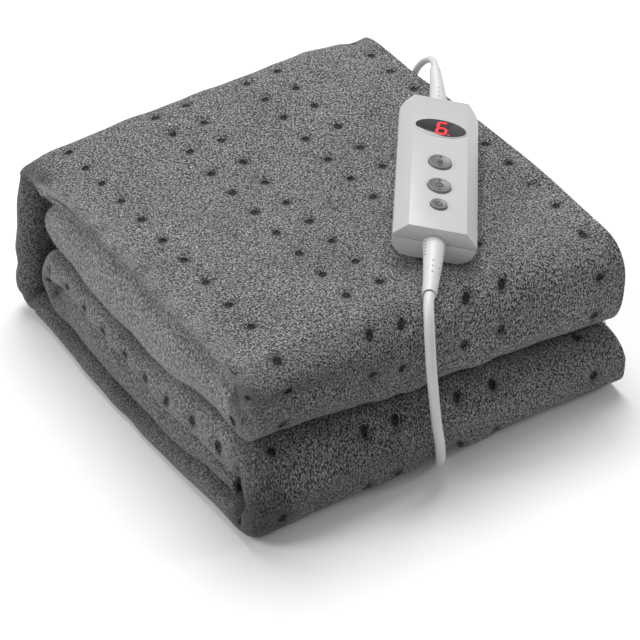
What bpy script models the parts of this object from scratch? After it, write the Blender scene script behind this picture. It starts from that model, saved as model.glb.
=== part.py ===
"""Electric heated blanket, folded into a pack, with its inline controller and its cords.

Frame: metres, +Z up, origin at the bottom centre of the folded pack.
-Y is the front with the two big rolled folds, +Y is the spine where the pack is folded in half,
-X is the side that shows the folded edges and +X the side that shows the hems.
"""

import math

import bmesh
import bpy
from mathutils import Vector

# ---- the folded pack ----
PACK_WIDTH = 0.262
PACK_DEPTH = 0.278
PACK_HEIGHT = 0.110
PLY_THICKNESS = 0.0032
PLY_SHARE = 0.22          # a ply's share of a tight layer
SPINE_THICKNESS = 0.019
SPINE_INSET = 0.002
SPINE_TOP_RADIUS = 0.030
SPINE_FOOT_RADIUS = 0.020
TUCKED_END_Y = 0.102      # rounded inner end of the upper half, near the spine
BACK_TURN_Y = 0.112       # inner fold of the lower half, near the spine
INNER_END_Y = -0.109      # loose inner end of the lower half, near the front
END_TAPER = 0.022
END_THICKNESS = 0.010
END_INSET = 0.002
ROLL_DEPTH = 0.010
HEM_STEP = 0.003
LEAST_FOLD = 0.0002

# Each layer is four plies. low and high are its faces over most of the pack, and edge_low and
# edge_high are the same faces at the -X side, where the tucked layer puffs up.
# inset is how far its folded edge stays back from the -X side.
LAYERS = {
    "bottom":      {"low": 0.0000, "high": 0.0190, "edge_low": 0.0000, "edge_high": 0.0110, "inset": 0.0040},
    "lower_inner": {"low": 0.0195, "high": 0.0375, "edge_low": 0.0117, "edge_high": 0.0360, "inset": 0.0065},
    "lower_upper": {"low": 0.0380, "high": 0.0560, "edge_low": 0.0367, "edge_high": 0.0560, "inset": 0.0010},
    "tucked":      {"low": 0.0580, "high": 0.0830, "edge_low": 0.0575, "edge_high": 0.0980, "inset": 0.0000},
    "top":         {"low": 0.0840, "high": 0.1100, "edge_low": 0.0990, "edge_high": 0.1100, "inset": 0.0010},
}
EDGE_INNER_X = -0.111     # the -X faces hold from here outwards
CORD_WAY_X = 0.0088       # the mains lead passes under the pack along this line
CORD_WAY_LIFT = 0.0073
CORD_WAY_FLAT = 0.0045
CORD_WAY_REACH = 0.013
CORD_WAY_FADE = 0.090
EDGE_FADE_X = CORD_WAY_X - CORD_WAY_REACH

# How full the outside of each big fold is in its corners: 2 is round, more is squarer.
UPPER_FOLD_POWER = 2.6
LOWER_FOLD_POWER = 3.2
SPINE_TOP_POWER = 4.0

# How far the pack swells past its folds: rising tables of a place, and a distance or a share there.
SIDE_SWELL_BY_Y = ((-0.139, 0.0045), (-0.100, 0.0060), (0.030, 0.0088), (0.100, 0.0072), (0.139, 0.0060))
SIDE_SHARE_BY_Z = ((0.000, 1.0), (0.020, 0.9), (0.046, 0.4), (0.080, 0.0))
SPINE_SWELL = 0.0040      # the spine stands out at -X over its whole height
SPINE_SHARE_BY_Y = ((0.112, 0.0), (0.126, 1.0))
SPINE_SHARE_BY_Z = ((0.000, 0.0), (0.046, 1.0), (0.110, 1.0))
FRONT_SWELL = 0.0055      # the lower half comes forward
FRONT_SHARE_BY_Y = ((-0.115, 1.0), (-0.050, 0.0))
FRONT_SHARE_BY_Z = ((0.000, 0.6), (0.014, 1.0), (0.036, 1.0), (0.062, 0.0))
FRONT_DROP_BY_X = ((-0.111, 0.000), (-0.060, 0.005), (0.000, 0.007), (0.055, 0.011), (0.131, 0.017))
FRONT_DROP_BY_Z = ((0.000, 0.0), (0.019, 0.25), (0.0377, 0.6), (0.057, 1.0), (0.0835, 0.4), (0.110, 0.0))
FRONT_DROP_BY_Y = ((-0.100, 1.0), (-0.020, 0.0))
TOP_LIFT_BY_X = ((-0.131, -0.010), (-0.111, -0.002), (-0.042, 0.004), (0.000, 0.005), (0.083, 0.007), (0.131, 0.004))
BACK_SWELL_BY_X = ((-0.131, 0.000), (0.000, 0.0025), (0.083, 0.0060), (0.131, 0.0050))
HEM_SWELL_BY_Y = ((-0.120, 0.0), (-0.060, 0.0010), (0.020, 0.0018), (0.055, 0.0012), (0.078, 0.0))
HEM_SHARE_BY_X = ((0.085, 0.0), (0.131, 1.0))
BACK_SHARE_BY_Y = ((0.034, 0.0), (0.120, 1.0))
HIGH_SHARE_BY_Z = ((0.080, 0.0), (0.106, 1.0))

# ---- the controller, in its own frame: X across, Y towards the display, Z out of its face ----
SEAT = Vector((0.0622, -0.0399, 0.1242))
SEAT_TURN = math.radians(-36.5)
SEAT_ROLL = math.radians(10.0)
CASE_LENGTH = 0.1405
CASE_WALL = 0.0020
CASE_SECTION = (          # half of the section, from the middle of the face to the middle of the back
    (0.0000, 0.0110),
    (0.0162, 0.0110),
    (0.0176, 0.0104),
    (0.0241, 0.0039),
    (0.0246, 0.0030),
    (0.0248, 0.0010),
    (0.0235, -0.0045),
    (0.0195, -0.0088),
    (0.0140, -0.0110),
    (0.0000, -0.0110),
)
CASE_CORNER = 0.0080      # radius of the far corners, seen from above
CASE_SPLIT = 0.0010       # height of the joint between the two shells
GAP = 0.0003
FACE_Z = CASE_SECTION[0][1]
WINDOW_Y = 0.0366
WINDOW_HALF = (0.0157, 0.0090)
WINDOW_DEPTH = 0.0009
BUTTON_RISE = 0.0015
BUTTONS = (
    {"name": "button_heat", "y": -0.0014, "radius": 0.0070},
    {"name": "button_timer", "y": -0.0265, "radius": 0.0070},
    {"name": "button_power", "y": -0.0458, "radius": 0.0050},
)
RELIEF_LENGTH = 0.044
RELIEF_BASE = (0.0070, 0.0060)
RELIEFS = (               # droop and swing in degrees, at the base and at the tip
    {"name": "relief_mains_side", "end": -1.0, "tip": 0.0041, "droop": (2.0, 7.0), "swing": (0.0, -3.0)},
    {"name": "relief_blanket_side", "end": 1.0, "tip": 0.0035, "droop": (-2.0, -9.0), "swing": (-1.0, -8.0)},
)

# ---- the cords ----
MAINS_DIAMETER = 0.0062
SHORT_DIAMETER = 0.0046
POINT_SPACING = 2.0       # diameters between the points of a cord
FLOOR_Z = 0.0033          # middle of a mains lead that lies on the floor
MAINS_ROUTE = (           # from the controller down the front and under the pack to the coil
    (-0.0075, -0.1315, 0.1212),
    (-0.0117, -0.1364, 0.1204),
    (-0.0153, -0.1420, 0.1166),
    (-0.0182, -0.1469, 0.1100),
    (-0.0196, -0.1502, 0.1010),
    (-0.0200, -0.1522, 0.0900),
    (-0.0194, -0.1535, 0.0770),
    (-0.0182, -0.1544, 0.0620),
    (-0.0164, -0.1550, 0.0460),
    (-0.0141, -0.1550, 0.0335),
    (-0.0118, -0.1532, 0.0224),
    (-0.0089, -0.1493, 0.0134),
    (-0.0050, -0.1434, 0.0070),
    (-0.0010, -0.1372, 0.0039),
    (0.0030, -0.1308, FLOOR_Z),
    (0.0062, -0.1245, FLOOR_Z),
    (0.0080, -0.1180, FLOOR_Z),
    (0.0087, -0.1100, FLOOR_Z),
    (0.0088, -0.1000, FLOOR_Z),
    (0.0088, -0.0500, FLOOR_Z),
    (0.0088, 0.0200, FLOOR_Z),
    (0.0088, 0.0900, FLOOR_Z),
    (0.0088, 0.1624, FLOOR_Z),
)
SHORT_ROUTE = (           # from the controller over the +X side and down to the lead entry
    (0.1284, 0.0536, 0.1286),
    (0.1316, 0.0596, 0.1293),
    (0.1343, 0.0660, 0.1282),
    (0.1356, 0.0725, 0.1248),
    (0.1358, 0.0785, 0.1195),
    (0.1354, 0.0835, 0.1125),
    (0.1351, 0.0870, 0.1040),
    (0.1350, 0.0894, 0.0930),
    (0.1350, 0.0904, 0.0800),
    (0.1350, 0.0906, 0.0620),
    (0.1353, 0.0898, 0.0440),
    (0.1365, 0.0872, 0.0285),
    (0.1392, 0.0820, 0.0155),
    (0.1432, 0.0736, 0.0070),
    (0.1476, 0.0620, 0.0036),
    (0.1514, 0.0460, 0.0026),
    (0.1530, 0.0260, 0.0026),
    (0.1526, 0.0060, 0.0026),
    (0.1502, -0.0140, 0.0034),
    (0.1456, -0.0320, 0.0076),
    (0.1420, -0.0455, 0.0126),
    (0.1404, -0.0545, 0.0147),
    (0.1402, -0.0607, 0.0152),
)
ENTRY_SEAT = Vector((0.1402, -0.0956, 0.0152))
ENTRY_HALF = (0.0088, 0.0110, 0.0085)
ENTRY_SPOUT = 0.0230
COIL_CENTRE = Vector((0.0490, 0.1855, 0.0))
COIL_RADIUS = 0.0340
COIL_TURNS_WIDE = 3
COIL_TURNS_HIGH = 2
TAIL_ROUTE = (
    (0.0942, 0.1720, 0.0092),
    (0.0981, 0.1679, 0.0085),
    (0.1029, 0.1647, 0.0078),
    (0.1082, 0.1625, 0.0072),
    (0.1125, 0.1620, 0.0070),
    (0.1160, 0.1620, 0.0070),
)
PLUG_SEAT = Vector((0.1164, 0.1620, 0.0070))
PLUG_LENGTH = 0.0460
PLUG_HALF_FRONT = (0.0175, 0.0068)
PLUG_HALF_BACK = (0.0046, 0.0045)
PIN_RADIUS = 0.0020
PIN_LENGTH = 0.0190
PIN_SPREAD = 0.0095


def clear_scene():
    for obj in list(bpy.data.objects):
        bpy.data.objects.remove(obj, do_unlink=True)


def make_material(name, colour, roughness, metallic=0.0):
    material = bpy.data.materials.new(name)
    material.use_nodes = True
    shader = material.node_tree.nodes["Principled BSDF"]
    shader.inputs["Base Color"].default_value = (*colour, 1.0)
    shader.inputs["Roughness"].default_value = roughness
    shader.inputs["Metallic"].default_value = metallic
    return material


def add_object(name, mesh_edit, material, parent=None, location=(0.0, 0.0, 0.0), smooth_angle=35.0):
    """Turns a bmesh into a linked object, with its faces pointing out and round places smooth."""
    bmesh.ops.recalc_face_normals(mesh_edit, faces=mesh_edit.faces)
    mesh = bpy.data.meshes.new(name)
    mesh_edit.to_mesh(mesh)
    mesh_edit.free()
    mesh.shade_smooth()
    mesh.set_sharp_from_angle(angle=math.radians(smooth_angle))
    obj = bpy.data.objects.new(name, mesh)
    bpy.context.scene.collection.objects.link(obj)
    obj.parent = parent
    obj.location = location
    if material is not None:
        obj.data.materials.append(material)
    return obj


def loft(rings):
    """A closed body through rings of equally many points, with its first and last ring filled."""
    mesh_edit = bmesh.new()
    loops = [[mesh_edit.verts.new(point) for point in ring] for ring in rings]
    count = len(loops[0])
    for lower, upper in zip(loops, loops[1:]):
        for index in range(count):
            after = (index + 1) % count
            mesh_edit.faces.new((lower[index], lower[after], upper[after], upper[index]))
    mesh_edit.faces.new(loops[0])
    mesh_edit.faces.new(loops[-1])
    return mesh_edit


def turned(profile, segments=32, stretch=(1.0, 1.0)):
    """A turned body about Z: profile is radius and height, from the bottom to the top."""
    rings = []
    for radius, height in profile:
        turn = [2 * math.pi * index / segments for index in range(segments)]
        rings.append(
            [(radius * stretch[0] * math.cos(a), radius * stretch[1] * math.sin(a), height) for a in turn]
        )
    return loft(rings)


def as_cutter(obj):
    obj.hide_render = True
    obj.display_type = "WIRE"
    return obj


def cut_away(obj, cutter):
    step = obj.modifiers.new("cut_" + cutter.name, "BOOLEAN")
    step.operation = "DIFFERENCE"
    step.solver = "EXACT"
    step.object = cutter


# ---- the blanket ----


def between(value, table):
    """Reads a rising table of (place, value) pairs, with straight runs between them."""
    if value <= table[0][0]:
        return table[0][1]
    for (place_a, value_a), (place_b, value_b) in zip(table, table[1:]):
        if value <= place_b:
            return value_a + (value_b - value_a) * (value - place_a) / (place_b - place_a)
    return table[-1][1]


def mix(a, b, share):
    return a + (b - a) * share


def layer_middle(name):
    return (LAYERS[name]["low"] + LAYERS[name]["high"]) / 2


def layer_thickness(name):
    return LAYERS[name]["high"] - LAYERS[name]["low"]


def run(name, y_from, y_to, steps=1):
    """Stations along a flat layer. The outer side is to the left of the way it goes."""
    side = 1.0 if y_to > y_from else -1.0
    stations = []
    for index in range(steps + 1):
        y = mix(y_from, y_to, index / steps)
        stations.append(
            {
                "y": y,
                "z": layer_middle(name),
                "out": (0.0, side),
                "thick": layer_thickness(name),
                "inset": LAYERS[name]["inset"],
            }
        )
    return stations


def turn(centre, outer_radius, angles, thicks, insets, steps, power=2.0):
    """Stations round a fold, whose outer face keeps its outline while the layer's thickness changes."""
    stations = []
    for index in range(steps + 1):
        share = index / steps
        angle = math.radians(mix(angles[0], angles[1], share))
        thick = mix(thicks[0], thicks[1], share)
        powers = abs(math.cos(angle)) ** power + abs(math.sin(angle)) ** power
        radius = outer_radius / powers ** (1 / power) - thick / 2
        stations.append(
            {
                "y": centre[0] + radius * math.cos(angle),
                "z": centre[1] + radius * math.sin(angle),
                "out": (math.cos(angle), math.sin(angle)),
                "thick": thick,
                "inset": mix(insets[0], insets[1], share),
            }
        )
    return stations


def layer_turn(low_name, high_name, y_centre, angles, names, steps, power=2.0):
    low = LAYERS[low_name]["low"]
    high = LAYERS[high_name]["high"]
    thicks = [layer_thickness(name) for name in names]
    insets = [LAYERS[name]["inset"] for name in names]
    return turn((y_centre, (low + high) / 2), (high - low) / 2, angles, thicks, insets, steps, power)


def tucked_end():
    """The rounded start of the strip, where the four plies draw together."""
    stations = []
    for share in (0.0, 0.12, 0.4):
        station = run("tucked", TUCKED_END_Y - END_TAPER * share, TUCKED_END_Y - END_TAPER)[0]
        full = station["thick"]
        round_share = math.sqrt(1.0 - (1.0 - share) ** 2)
        station["thick"] = mix(END_THICKNESS, full, round_share)
        station["inset"] = mix(END_INSET, station["inset"], round_share)
        stations.append(station)
    return stations


def strip_stations():
    """The way of the strip through the pack, turning the same way at every fold."""
    front = -PACK_DEPTH / 2
    back = PACK_DEPTH / 2
    upper_radius = (LAYERS["top"]["high"] - LAYERS["tucked"]["low"]) / 2
    lower_radius = (LAYERS["lower_upper"]["high"] - LAYERS["bottom"]["low"]) / 2
    turn_radius = (LAYERS["lower_upper"]["high"] - LAYERS["lower_inner"]["low"]) / 2
    spine_thicks = (layer_thickness("top"), SPINE_THICKNESS, layer_thickness("bottom"))
    spine_insets = (LAYERS["top"]["inset"], SPINE_INSET, LAYERS["bottom"]["inset"])
    top_corner = (back - SPINE_TOP_RADIUS, PACK_HEIGHT - SPINE_TOP_RADIUS)
    foot_corner = (back - SPINE_FOOT_RADIUS, SPINE_FOOT_RADIUS)
    stations = tucked_end()
    stations += run("tucked", TUCKED_END_Y - END_TAPER, front + upper_radius)
    stations += layer_turn(
        "tucked", "top", front + upper_radius, (-90, -270), ("tucked", "top"), 8, UPPER_FOLD_POWER
    )[1:]
    stations += run("top", front + upper_radius, BACK_SHARE_BY_Y[0][0])[1:]
    stations += turn(
        top_corner, SPINE_TOP_RADIUS, (90, 0), spine_thicks[:2], spine_insets[:2], 6, SPINE_TOP_POWER
    )
    stations += turn(foot_corner, SPINE_FOOT_RADIUS, (0, -90), spine_thicks[1:], spine_insets[1:], 4)
    stations += layer_turn(
        "bottom", "lower_upper", front + lower_radius, (-90, -270), ("bottom", "lower_upper"), 8, LOWER_FOLD_POWER
    )
    stations += layer_turn(
        "lower_inner", "lower_upper", BACK_TURN_Y - turn_radius, (90, -90), ("lower_upper", "lower_inner"), 6
    )
    stations += run("lower_inner", BACK_TURN_Y - turn_radius, INNER_END_Y)[1:]
    return stations


def arc(centre, half, angles, steps):
    points = []
    for index in range(steps + 1):
        angle = math.radians(mix(angles[0], angles[1], index / steps))
        points.append((centre[0] + half[0] * math.cos(angle), centre[1] + half[1] * math.sin(angle)))
    return points


def ply_section(thick, inset):
    """Outline of the four plies as x and height above the layer's middle.

    The outermost ply rolls round at -X into the innermost, which folds at +X into the third,
    and that rolls round inside the first roll into the second, whose hem is back at +X.
    """
    ply = min(PLY_THICKNESS, PLY_SHARE * thick)
    half = ply / 2
    pitch = (thick - ply) / 3
    levels = (1.5 * pitch, 0.5 * pitch, -0.5 * pitch, -1.5 * pitch)
    tip = -PACK_WIDTH / 2 + inset
    roll_x = tip + min(1.5 * pitch + half, ROLL_DEPTH)
    roll_out = (roll_x - tip, 1.5 * pitch + half)
    roll_in = (roll_x - tip - ply, 1.5 * pitch - half)
    nest_out = (pitch / 2 + half, pitch / 2 + half)
    nest_in = (pitch / 2 - half, pitch / 2 - half)
    nest_x = tip + ply + HEM_STEP + nest_out[0]
    fold_out = (min(pitch / 2 + half, ROLL_DEPTH), pitch / 2 + half)
    fold_in = (max(fold_out[0] - ply, LEAST_FOLD), pitch / 2 - half)
    hem = PACK_WIDTH / 2
    fold_x = hem - 0.5 * HEM_STEP - fold_out[0]
    going_out = [
        CORD_WAY_X + CORD_WAY_REACH,
        CORD_WAY_X + CORD_WAY_FLAT,
        CORD_WAY_X - CORD_WAY_FLAT,
        CORD_WAY_X - CORD_WAY_REACH,
        EDGE_INNER_X,
    ]
    coming_back = going_out[::-1]
    outline = [(hem, levels[0] + half)]
    outline += [(x, levels[0] + half) for x in going_out]
    outline += arc((roll_x, 0.0), roll_out, (90, 270), 5)
    outline += [(x, levels[3] - half) for x in coming_back]
    outline += arc((fold_x, -pitch), fold_out, (-90, 90), 2)
    outline += [(x, levels[2] + half) for x in going_out]
    outline += arc((nest_x, 0.0), nest_in, (270, 90), 2)
    outline += [(x, levels[1] - half) for x in coming_back]
    outline += [(hem - HEM_STEP, levels[1] - half), (hem - HEM_STEP, levels[1] + half)]
    outline += [(x, levels[1] + half) for x in going_out]
    outline += arc((nest_x, 0.0), nest_out, (90, 270), 2)
    outline += [(x, levels[2] - half) for x in coming_back]
    outline += arc((fold_x, -pitch), fold_in, (90, -90), 2)
    outline += [(x, levels[3] + half) for x in going_out]
    outline += arc((roll_x, 0.0), roll_in, (270, 90), 5)
    outline += [(x, levels[0] - half) for x in coming_back]
    outline += [(hem, levels[0] - half)]
    return outline


def edge_height(z):
    """Where a height over most of the pack lies at the -X side."""
    table = []
    for layer in LAYERS.values():
        table.append((layer["low"], layer["edge_low"]))
        table.append((layer["high"], layer["edge_high"]))
    return between(z, table)


def settle(x, y, z):
    """Swells and sags the neat pack, and lifts its lower half over the cord that passes under it."""
    edge_share = between(x, ((EDGE_INNER_X, 1.0), (EDGE_FADE_X, 0.0)))
    side = between(y, SIDE_SWELL_BY_Y) * between(z, SIDE_SHARE_BY_Z)
    side += SPINE_SWELL * between(y, SPINE_SHARE_BY_Y) * between(z, SPINE_SHARE_BY_Z)
    hem = between(y, HEM_SWELL_BY_Y) * between(x, HEM_SHARE_BY_X) * between(z, HIGH_SHARE_BY_Z)
    back_share = between(y, BACK_SHARE_BY_Y) * between(z, HIGH_SHARE_BY_Z)
    forward = FRONT_SWELL * between(y, FRONT_SHARE_BY_Y) * between(z, FRONT_SHARE_BY_Z)
    drop = between(x, FRONT_DROP_BY_X) * between(y, FRONT_DROP_BY_Y) * between(z, FRONT_DROP_BY_Z)
    rise = back_share * between(x, TOP_LIFT_BY_X) - drop * (1.0 - edge_share)
    y += back_share * between(x, BACK_SWELL_BY_X) - forward
    z = mix(z, edge_height(z), edge_share) + rise
    x += hem - side * edge_share
    aside = abs(x - CORD_WAY_X)
    lift = between(aside, ((CORD_WAY_FLAT, CORD_WAY_LIFT), (CORD_WAY_REACH, 0.0)))
    lower_top = LAYERS["lower_upper"]["high"]
    z += lift * max(0.0, 1.0 - z / lower_top)
    under_pack = [(place[1], place[0]) for place in MAINS_ROUTE if place[2] == FLOOR_Z]
    way_share = between(aside, ((CORD_WAY_REACH, 1.0), (CORD_WAY_FADE, 0.0)))
    x += (between(y, under_pack) - CORD_WAY_X) * way_share
    return (x, y, z)


def make_blanket(cloth):
    rings = []
    for station in strip_stations():
        out_y, out_z = station["out"]
        ring = []
        for x, height in ply_section(station["thick"], station["inset"]):
            ring.append(settle(x, station["y"] + height * out_y, station["z"] + height * out_z))
        rings.append(ring)
    return add_object("blanket", loft(rings), cloth, smooth_angle=50.0)


# ---- the controller ----


def case_ring(y, inset, wall):
    """The controller's section at y, drawn in by inset, with wall taken off all round."""
    half_width = max(x for x, _ in CASE_SECTION)
    half_height = FACE_Z
    across = (half_width - inset - wall) / half_width
    high = (half_height - 0.25 * inset - wall) / half_height
    right = [(x * across, y, z * high) for x, z in CASE_SECTION]
    left = [(-x, y, z) for x, y, z in right[-2:0:-1]]
    return right + left


def case_body(wall):
    """The whole controller's outside, or its inside when wall is more than nothing."""
    end = CASE_LENGTH / 2 - wall
    stations = [(-end, 0.0010), (-end + 0.0010, 0.0)]
    for index in range(6):
        angle = math.radians(90 * index / 5)
        inset = CASE_CORNER * (1.0 - math.cos(angle))
        stations.append((end - CASE_CORNER * (1.0 - math.sin(angle)), inset))
    return loft([case_ring(y, inset, wall) for y, inset in stations])


def keep_side(mesh_edit, height, keep_upper):
    """Cuts a body flat at a height and keeps one side, closed by a flat face."""
    whole = mesh_edit.verts[:] + mesh_edit.edges[:] + mesh_edit.faces[:]
    cut = bmesh.ops.bisect_plane(
        mesh_edit,
        geom=whole,
        plane_co=(0.0, 0.0, height),
        plane_no=(0.0, 0.0, 1.0),
        clear_inner=keep_upper,
        clear_outer=not keep_upper,
    )
    rim = [item for item in cut["geom_cut"] if isinstance(item, bmesh.types.BMEdge)]
    bmesh.ops.edgeloop_fill(mesh_edit, edges=rim)
    return mesh_edit


def make_shells(seat, plastic):
    inside = as_cutter(add_object("case_inside", case_body(CASE_WALL), None, seat))
    front = add_object("controller_front", keep_side(case_body(0.0), CASE_SPLIT + GAP / 2, True), plastic, seat)
    back = add_object("controller_back", keep_side(case_body(0.0), CASE_SPLIT - GAP / 2, False), plastic, seat)
    cut_away(front, inside)
    cut_away(back, inside)
    for button in BUTTONS:
        hole = turned(((button["radius"] + GAP, 0.004), (button["radius"] + GAP, 0.016)))
        name = button["name"] + "_hole"
        cut_away(front, as_cutter(add_object(name, hole, None, seat, (0.0, button["y"], 0.0))))
    floor_z = FACE_Z - WINDOW_DEPTH
    half = (WINDOW_HALF[0] + GAP, WINDOW_HALF[1] + GAP)
    recess = turned(((1.0, floor_z), (1.0, 0.016)), 40, half)
    cut_away(front, as_cutter(add_object("window_recess", recess, None, seat, (0.0, WINDOW_Y, 0.0))))


def make_window(seat, glass):
    floor_z = FACE_Z - WINDOW_DEPTH + GAP
    lens = turned(((1.0, floor_z), (1.0, FACE_Z), (0.97, FACE_Z + 0.0003)), 40, WINDOW_HALF)
    return add_object("display_window", lens, glass, seat, (0.0, WINDOW_Y, 0.0))


def make_button(button, seat, rubber):
    """A push button: its flange stays inside the front shell and its cap stands out of the face."""
    radius = button["radius"]
    under = FACE_Z - CASE_WALL - GAP
    profile = (
        (radius + 0.0013, under - 0.0012),
        (radius + 0.0013, under),
        (radius, under),
        (radius, FACE_Z + BUTTON_RISE - 0.0006),
        (radius - 0.0006, FACE_Z + BUTTON_RISE),
        (radius - 0.0012, FACE_Z + BUTTON_RISE - 0.0001),
    )
    return add_object(button["name"], turned(profile), rubber, seat, (0.0, button["y"], 0.0))


def make_relief(relief, seat, plastic):
    """A tapered cord sleeve on one end of the controller, which bends a little more along its length."""
    end = relief["end"]
    middle = Vector((0.0, end * (CASE_LENGTH / 2 + GAP), 0.0))
    steps = 8
    rings = []
    for index in range(steps + 1):
        share = index / steps
        droop = math.radians(mix(*relief["droop"], share))
        swing = math.radians(mix(*relief["swing"], share))
        ahead = Vector((math.sin(swing), end * math.cos(swing), 0.0)) * math.cos(droop)
        ahead.z = -math.sin(droop)
        half_width = mix(RELIEF_BASE[0], relief["tip"], share ** 0.8)
        half_height = mix(RELIEF_BASE[1], relief["tip"], share ** 0.8)
        across = ahead.cross(Vector((0.0, 0.0, 1.0))).normalized() if index else Vector((end, 0.0, 0.0))
        upright = across.cross(ahead).normalized() if index else Vector((0.0, 0.0, 1.0))
        ring = []
        for _, flat_x, flat_z in superellipse_ring(0.0, (half_width, half_height), 0.8, 16):
            ring.append(middle + flat_x * across + flat_z * upright)
        rings.append(ring)
        middle = middle + ahead * (RELIEF_LENGTH / steps)
    return add_object(relief["name"], loft(rings), plastic, seat)


def make_controller():
    seat = bpy.data.objects.new("controller_seat", None)
    bpy.context.scene.collection.objects.link(seat)
    seat.location = SEAT
    seat.rotation_euler = (0.0, SEAT_ROLL, SEAT_TURN)
    shell = make_material("white_plastic", (0.72, 0.73, 0.74), 0.35)
    make_shells(seat, shell)
    make_window(seat, make_material("dark_window", (0.012, 0.012, 0.014), 0.12))
    cap = make_material("grey_button", (0.16, 0.165, 0.17), 0.5)
    for button in BUTTONS:
        make_button(button, seat, cap)
    sleeve = make_material("white_sleeve", (0.74, 0.75, 0.76), 0.45)
    for relief in RELIEFS:
        make_relief(relief, seat, sleeve)
    return sleeve


# ---- the cords ----


def smooth_route(route, spacing):
    """Points at even spacing along a smooth curve through the route's own points."""
    points = [Vector(point) for point in route]
    padded = [2 * points[0] - points[1]] + points + [2 * points[-1] - points[-2]]
    dense = []
    for a, b, c, d in zip(padded, padded[1:], padded[2:], padded[3:]):
        for step in range(12):
            t = step / 12
            bend = 2 * b + (c - a) * t + (2 * a - 5 * b + 4 * c - d) * t ** 2
            dense.append((bend + (3 * b - a - 3 * c + d) * t ** 3) / 2)
    dense.append(points[-1])
    lengths = [0.0]
    for a, b in zip(dense, dense[1:]):
        lengths.append(lengths[-1] + (b - a).length)
    count = max(2, round(lengths[-1] / spacing))
    even = []
    place = 0
    for index in range(count + 1):
        goal = lengths[-1] * index / count
        while place < len(dense) - 2 and lengths[place + 1] < goal:
            place += 1
        share = (goal - lengths[place]) / (lengths[place + 1] - lengths[place])
        even.append(dense[place].lerp(dense[place + 1], min(share, 1.0)))
    return even


def make_tube(name, route, diameter, sleeve):
    points = smooth_route(route, POINT_SPACING * diameter)
    curve = bpy.data.curves.new(name, "CURVE")
    curve.dimensions = "3D"
    curve.bevel_depth = diameter / 2
    curve.bevel_resolution = 2
    curve.use_fill_caps = True
    curve.resolution_u = 1
    spline = curve.splines.new("POLY")
    spline.points.add(len(points) - 1)
    for place, point in zip(spline.points, points):
        place.co = (*point, 1.0)
    obj = bpy.data.objects.new(name, curve)
    bpy.context.scene.collection.objects.link(obj)
    curve.materials.append(sleeve)
    return obj


def make_coil(sleeve):
    """The outer shape of the wound lead: a ring as wide and as high as its turns."""
    low = 0.0002
    half_width = COIL_TURNS_WIDE * MAINS_DIAMETER / 2
    height = COIL_TURNS_HIGH * MAINS_DIAMETER + low
    edge = 0.0025
    profile = (
        (-half_width, low + edge),
        (-half_width + edge, low),
        (half_width - edge, low),
        (half_width, low + edge),
        (half_width, height - edge),
        (half_width - edge, height),
        (-half_width + edge, height),
        (-half_width, height - edge),
    )
    segments = 40
    mesh_edit = bmesh.new()
    rings = []
    for index in range(segments):
        angle = 2 * math.pi * index / segments
        ring = []
        for aside, z in profile:
            radius = COIL_RADIUS + aside
            x = COIL_CENTRE.x + radius * math.cos(angle)
            ring.append(mesh_edit.verts.new((x, COIL_CENTRE.y + radius * math.sin(angle), z)))
        rings.append(ring)
    for index in range(segments):
        this = rings[index]
        after = rings[(index + 1) % segments]
        for side in range(len(profile)):
            other = (side + 1) % len(profile)
            mesh_edit.faces.new((this[side], after[side], after[other], this[other]))
    return add_object("mains_lead_coil", mesh_edit, sleeve)


def superellipse_ring(x, half, power, segments=24):
    ring = []
    for index in range(segments):
        angle = 2 * math.pi * index / segments
        flat_y = half[0] * math.copysign(abs(math.cos(angle)) ** power, math.cos(angle))
        flat_z = half[1] * math.copysign(abs(math.sin(angle)) ** power, math.sin(angle))
        ring.append((x, flat_y, flat_z))
    return ring


def make_plug(plastic, metal):
    """A flat two-pin plug that points to +X, narrow where the cord goes in."""
    rings = []
    for share, widen in ((0.0, 0.0), (0.42, 0.12), (0.52, 0.5), (0.62, 1.0), (0.97, 1.0), (1.0, 0.94)):
        half = (
            mix(PLUG_HALF_BACK[0], PLUG_HALF_FRONT[0], widen),
            mix(PLUG_HALF_BACK[1], PLUG_HALF_FRONT[1], widen),
        )
        rings.append(superellipse_ring(GAP + share * PLUG_LENGTH, half, 0.55))
    add_object("plug_body", loft(rings), plastic, None, PLUG_SEAT)
    for name, side in (("plug_pin_left", 1.0), ("plug_pin_right", -1.0)):
        start = PLUG_LENGTH + 2 * GAP
        pin = loft(
            [
                superellipse_ring(start, (PIN_RADIUS, PIN_RADIUS), 1.0, 16),
                superellipse_ring(start + PIN_LENGTH - 0.001, (PIN_RADIUS, PIN_RADIUS), 1.0, 16),
                superellipse_ring(start + PIN_LENGTH, (PIN_RADIUS * 0.6, PIN_RADIUS * 0.6), 1.0, 16),
            ]
        )
        add_object(name, pin, metal, None, PLUG_SEAT + Vector((0.0, side * PIN_SPREAD, 0.0)))


def make_entry(plastic):
    """The moulded entry on the hems of the lower half, with a short spout for the lead."""
    half_x, half_y, half_z = ENTRY_HALF
    rings = []
    for y, scale in ((-half_y, 0.90), (-half_y + 0.001, 1.0), (half_y - 0.002, 1.0), (half_y, 0.88)):
        ring = []
        for x, _, z in [(p[1], 0.0, p[2]) for p in superellipse_ring(0.0, (half_x, half_z), 0.45)]:
            ring.append((x * scale, y, z * scale))
        rings.append(ring)
    for share, size in ((0.10, 0.0062), (0.45, 0.0048), (0.90, 0.0036), (1.0, 0.0034)):
        ring = [(p[1], half_y + share * ENTRY_SPOUT, p[2]) for p in superellipse_ring(0.0, (size, size), 1.0)]
        rings.append(ring)
    return add_object("lead_entry", loft(rings), plastic, None, ENTRY_SEAT)


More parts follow.
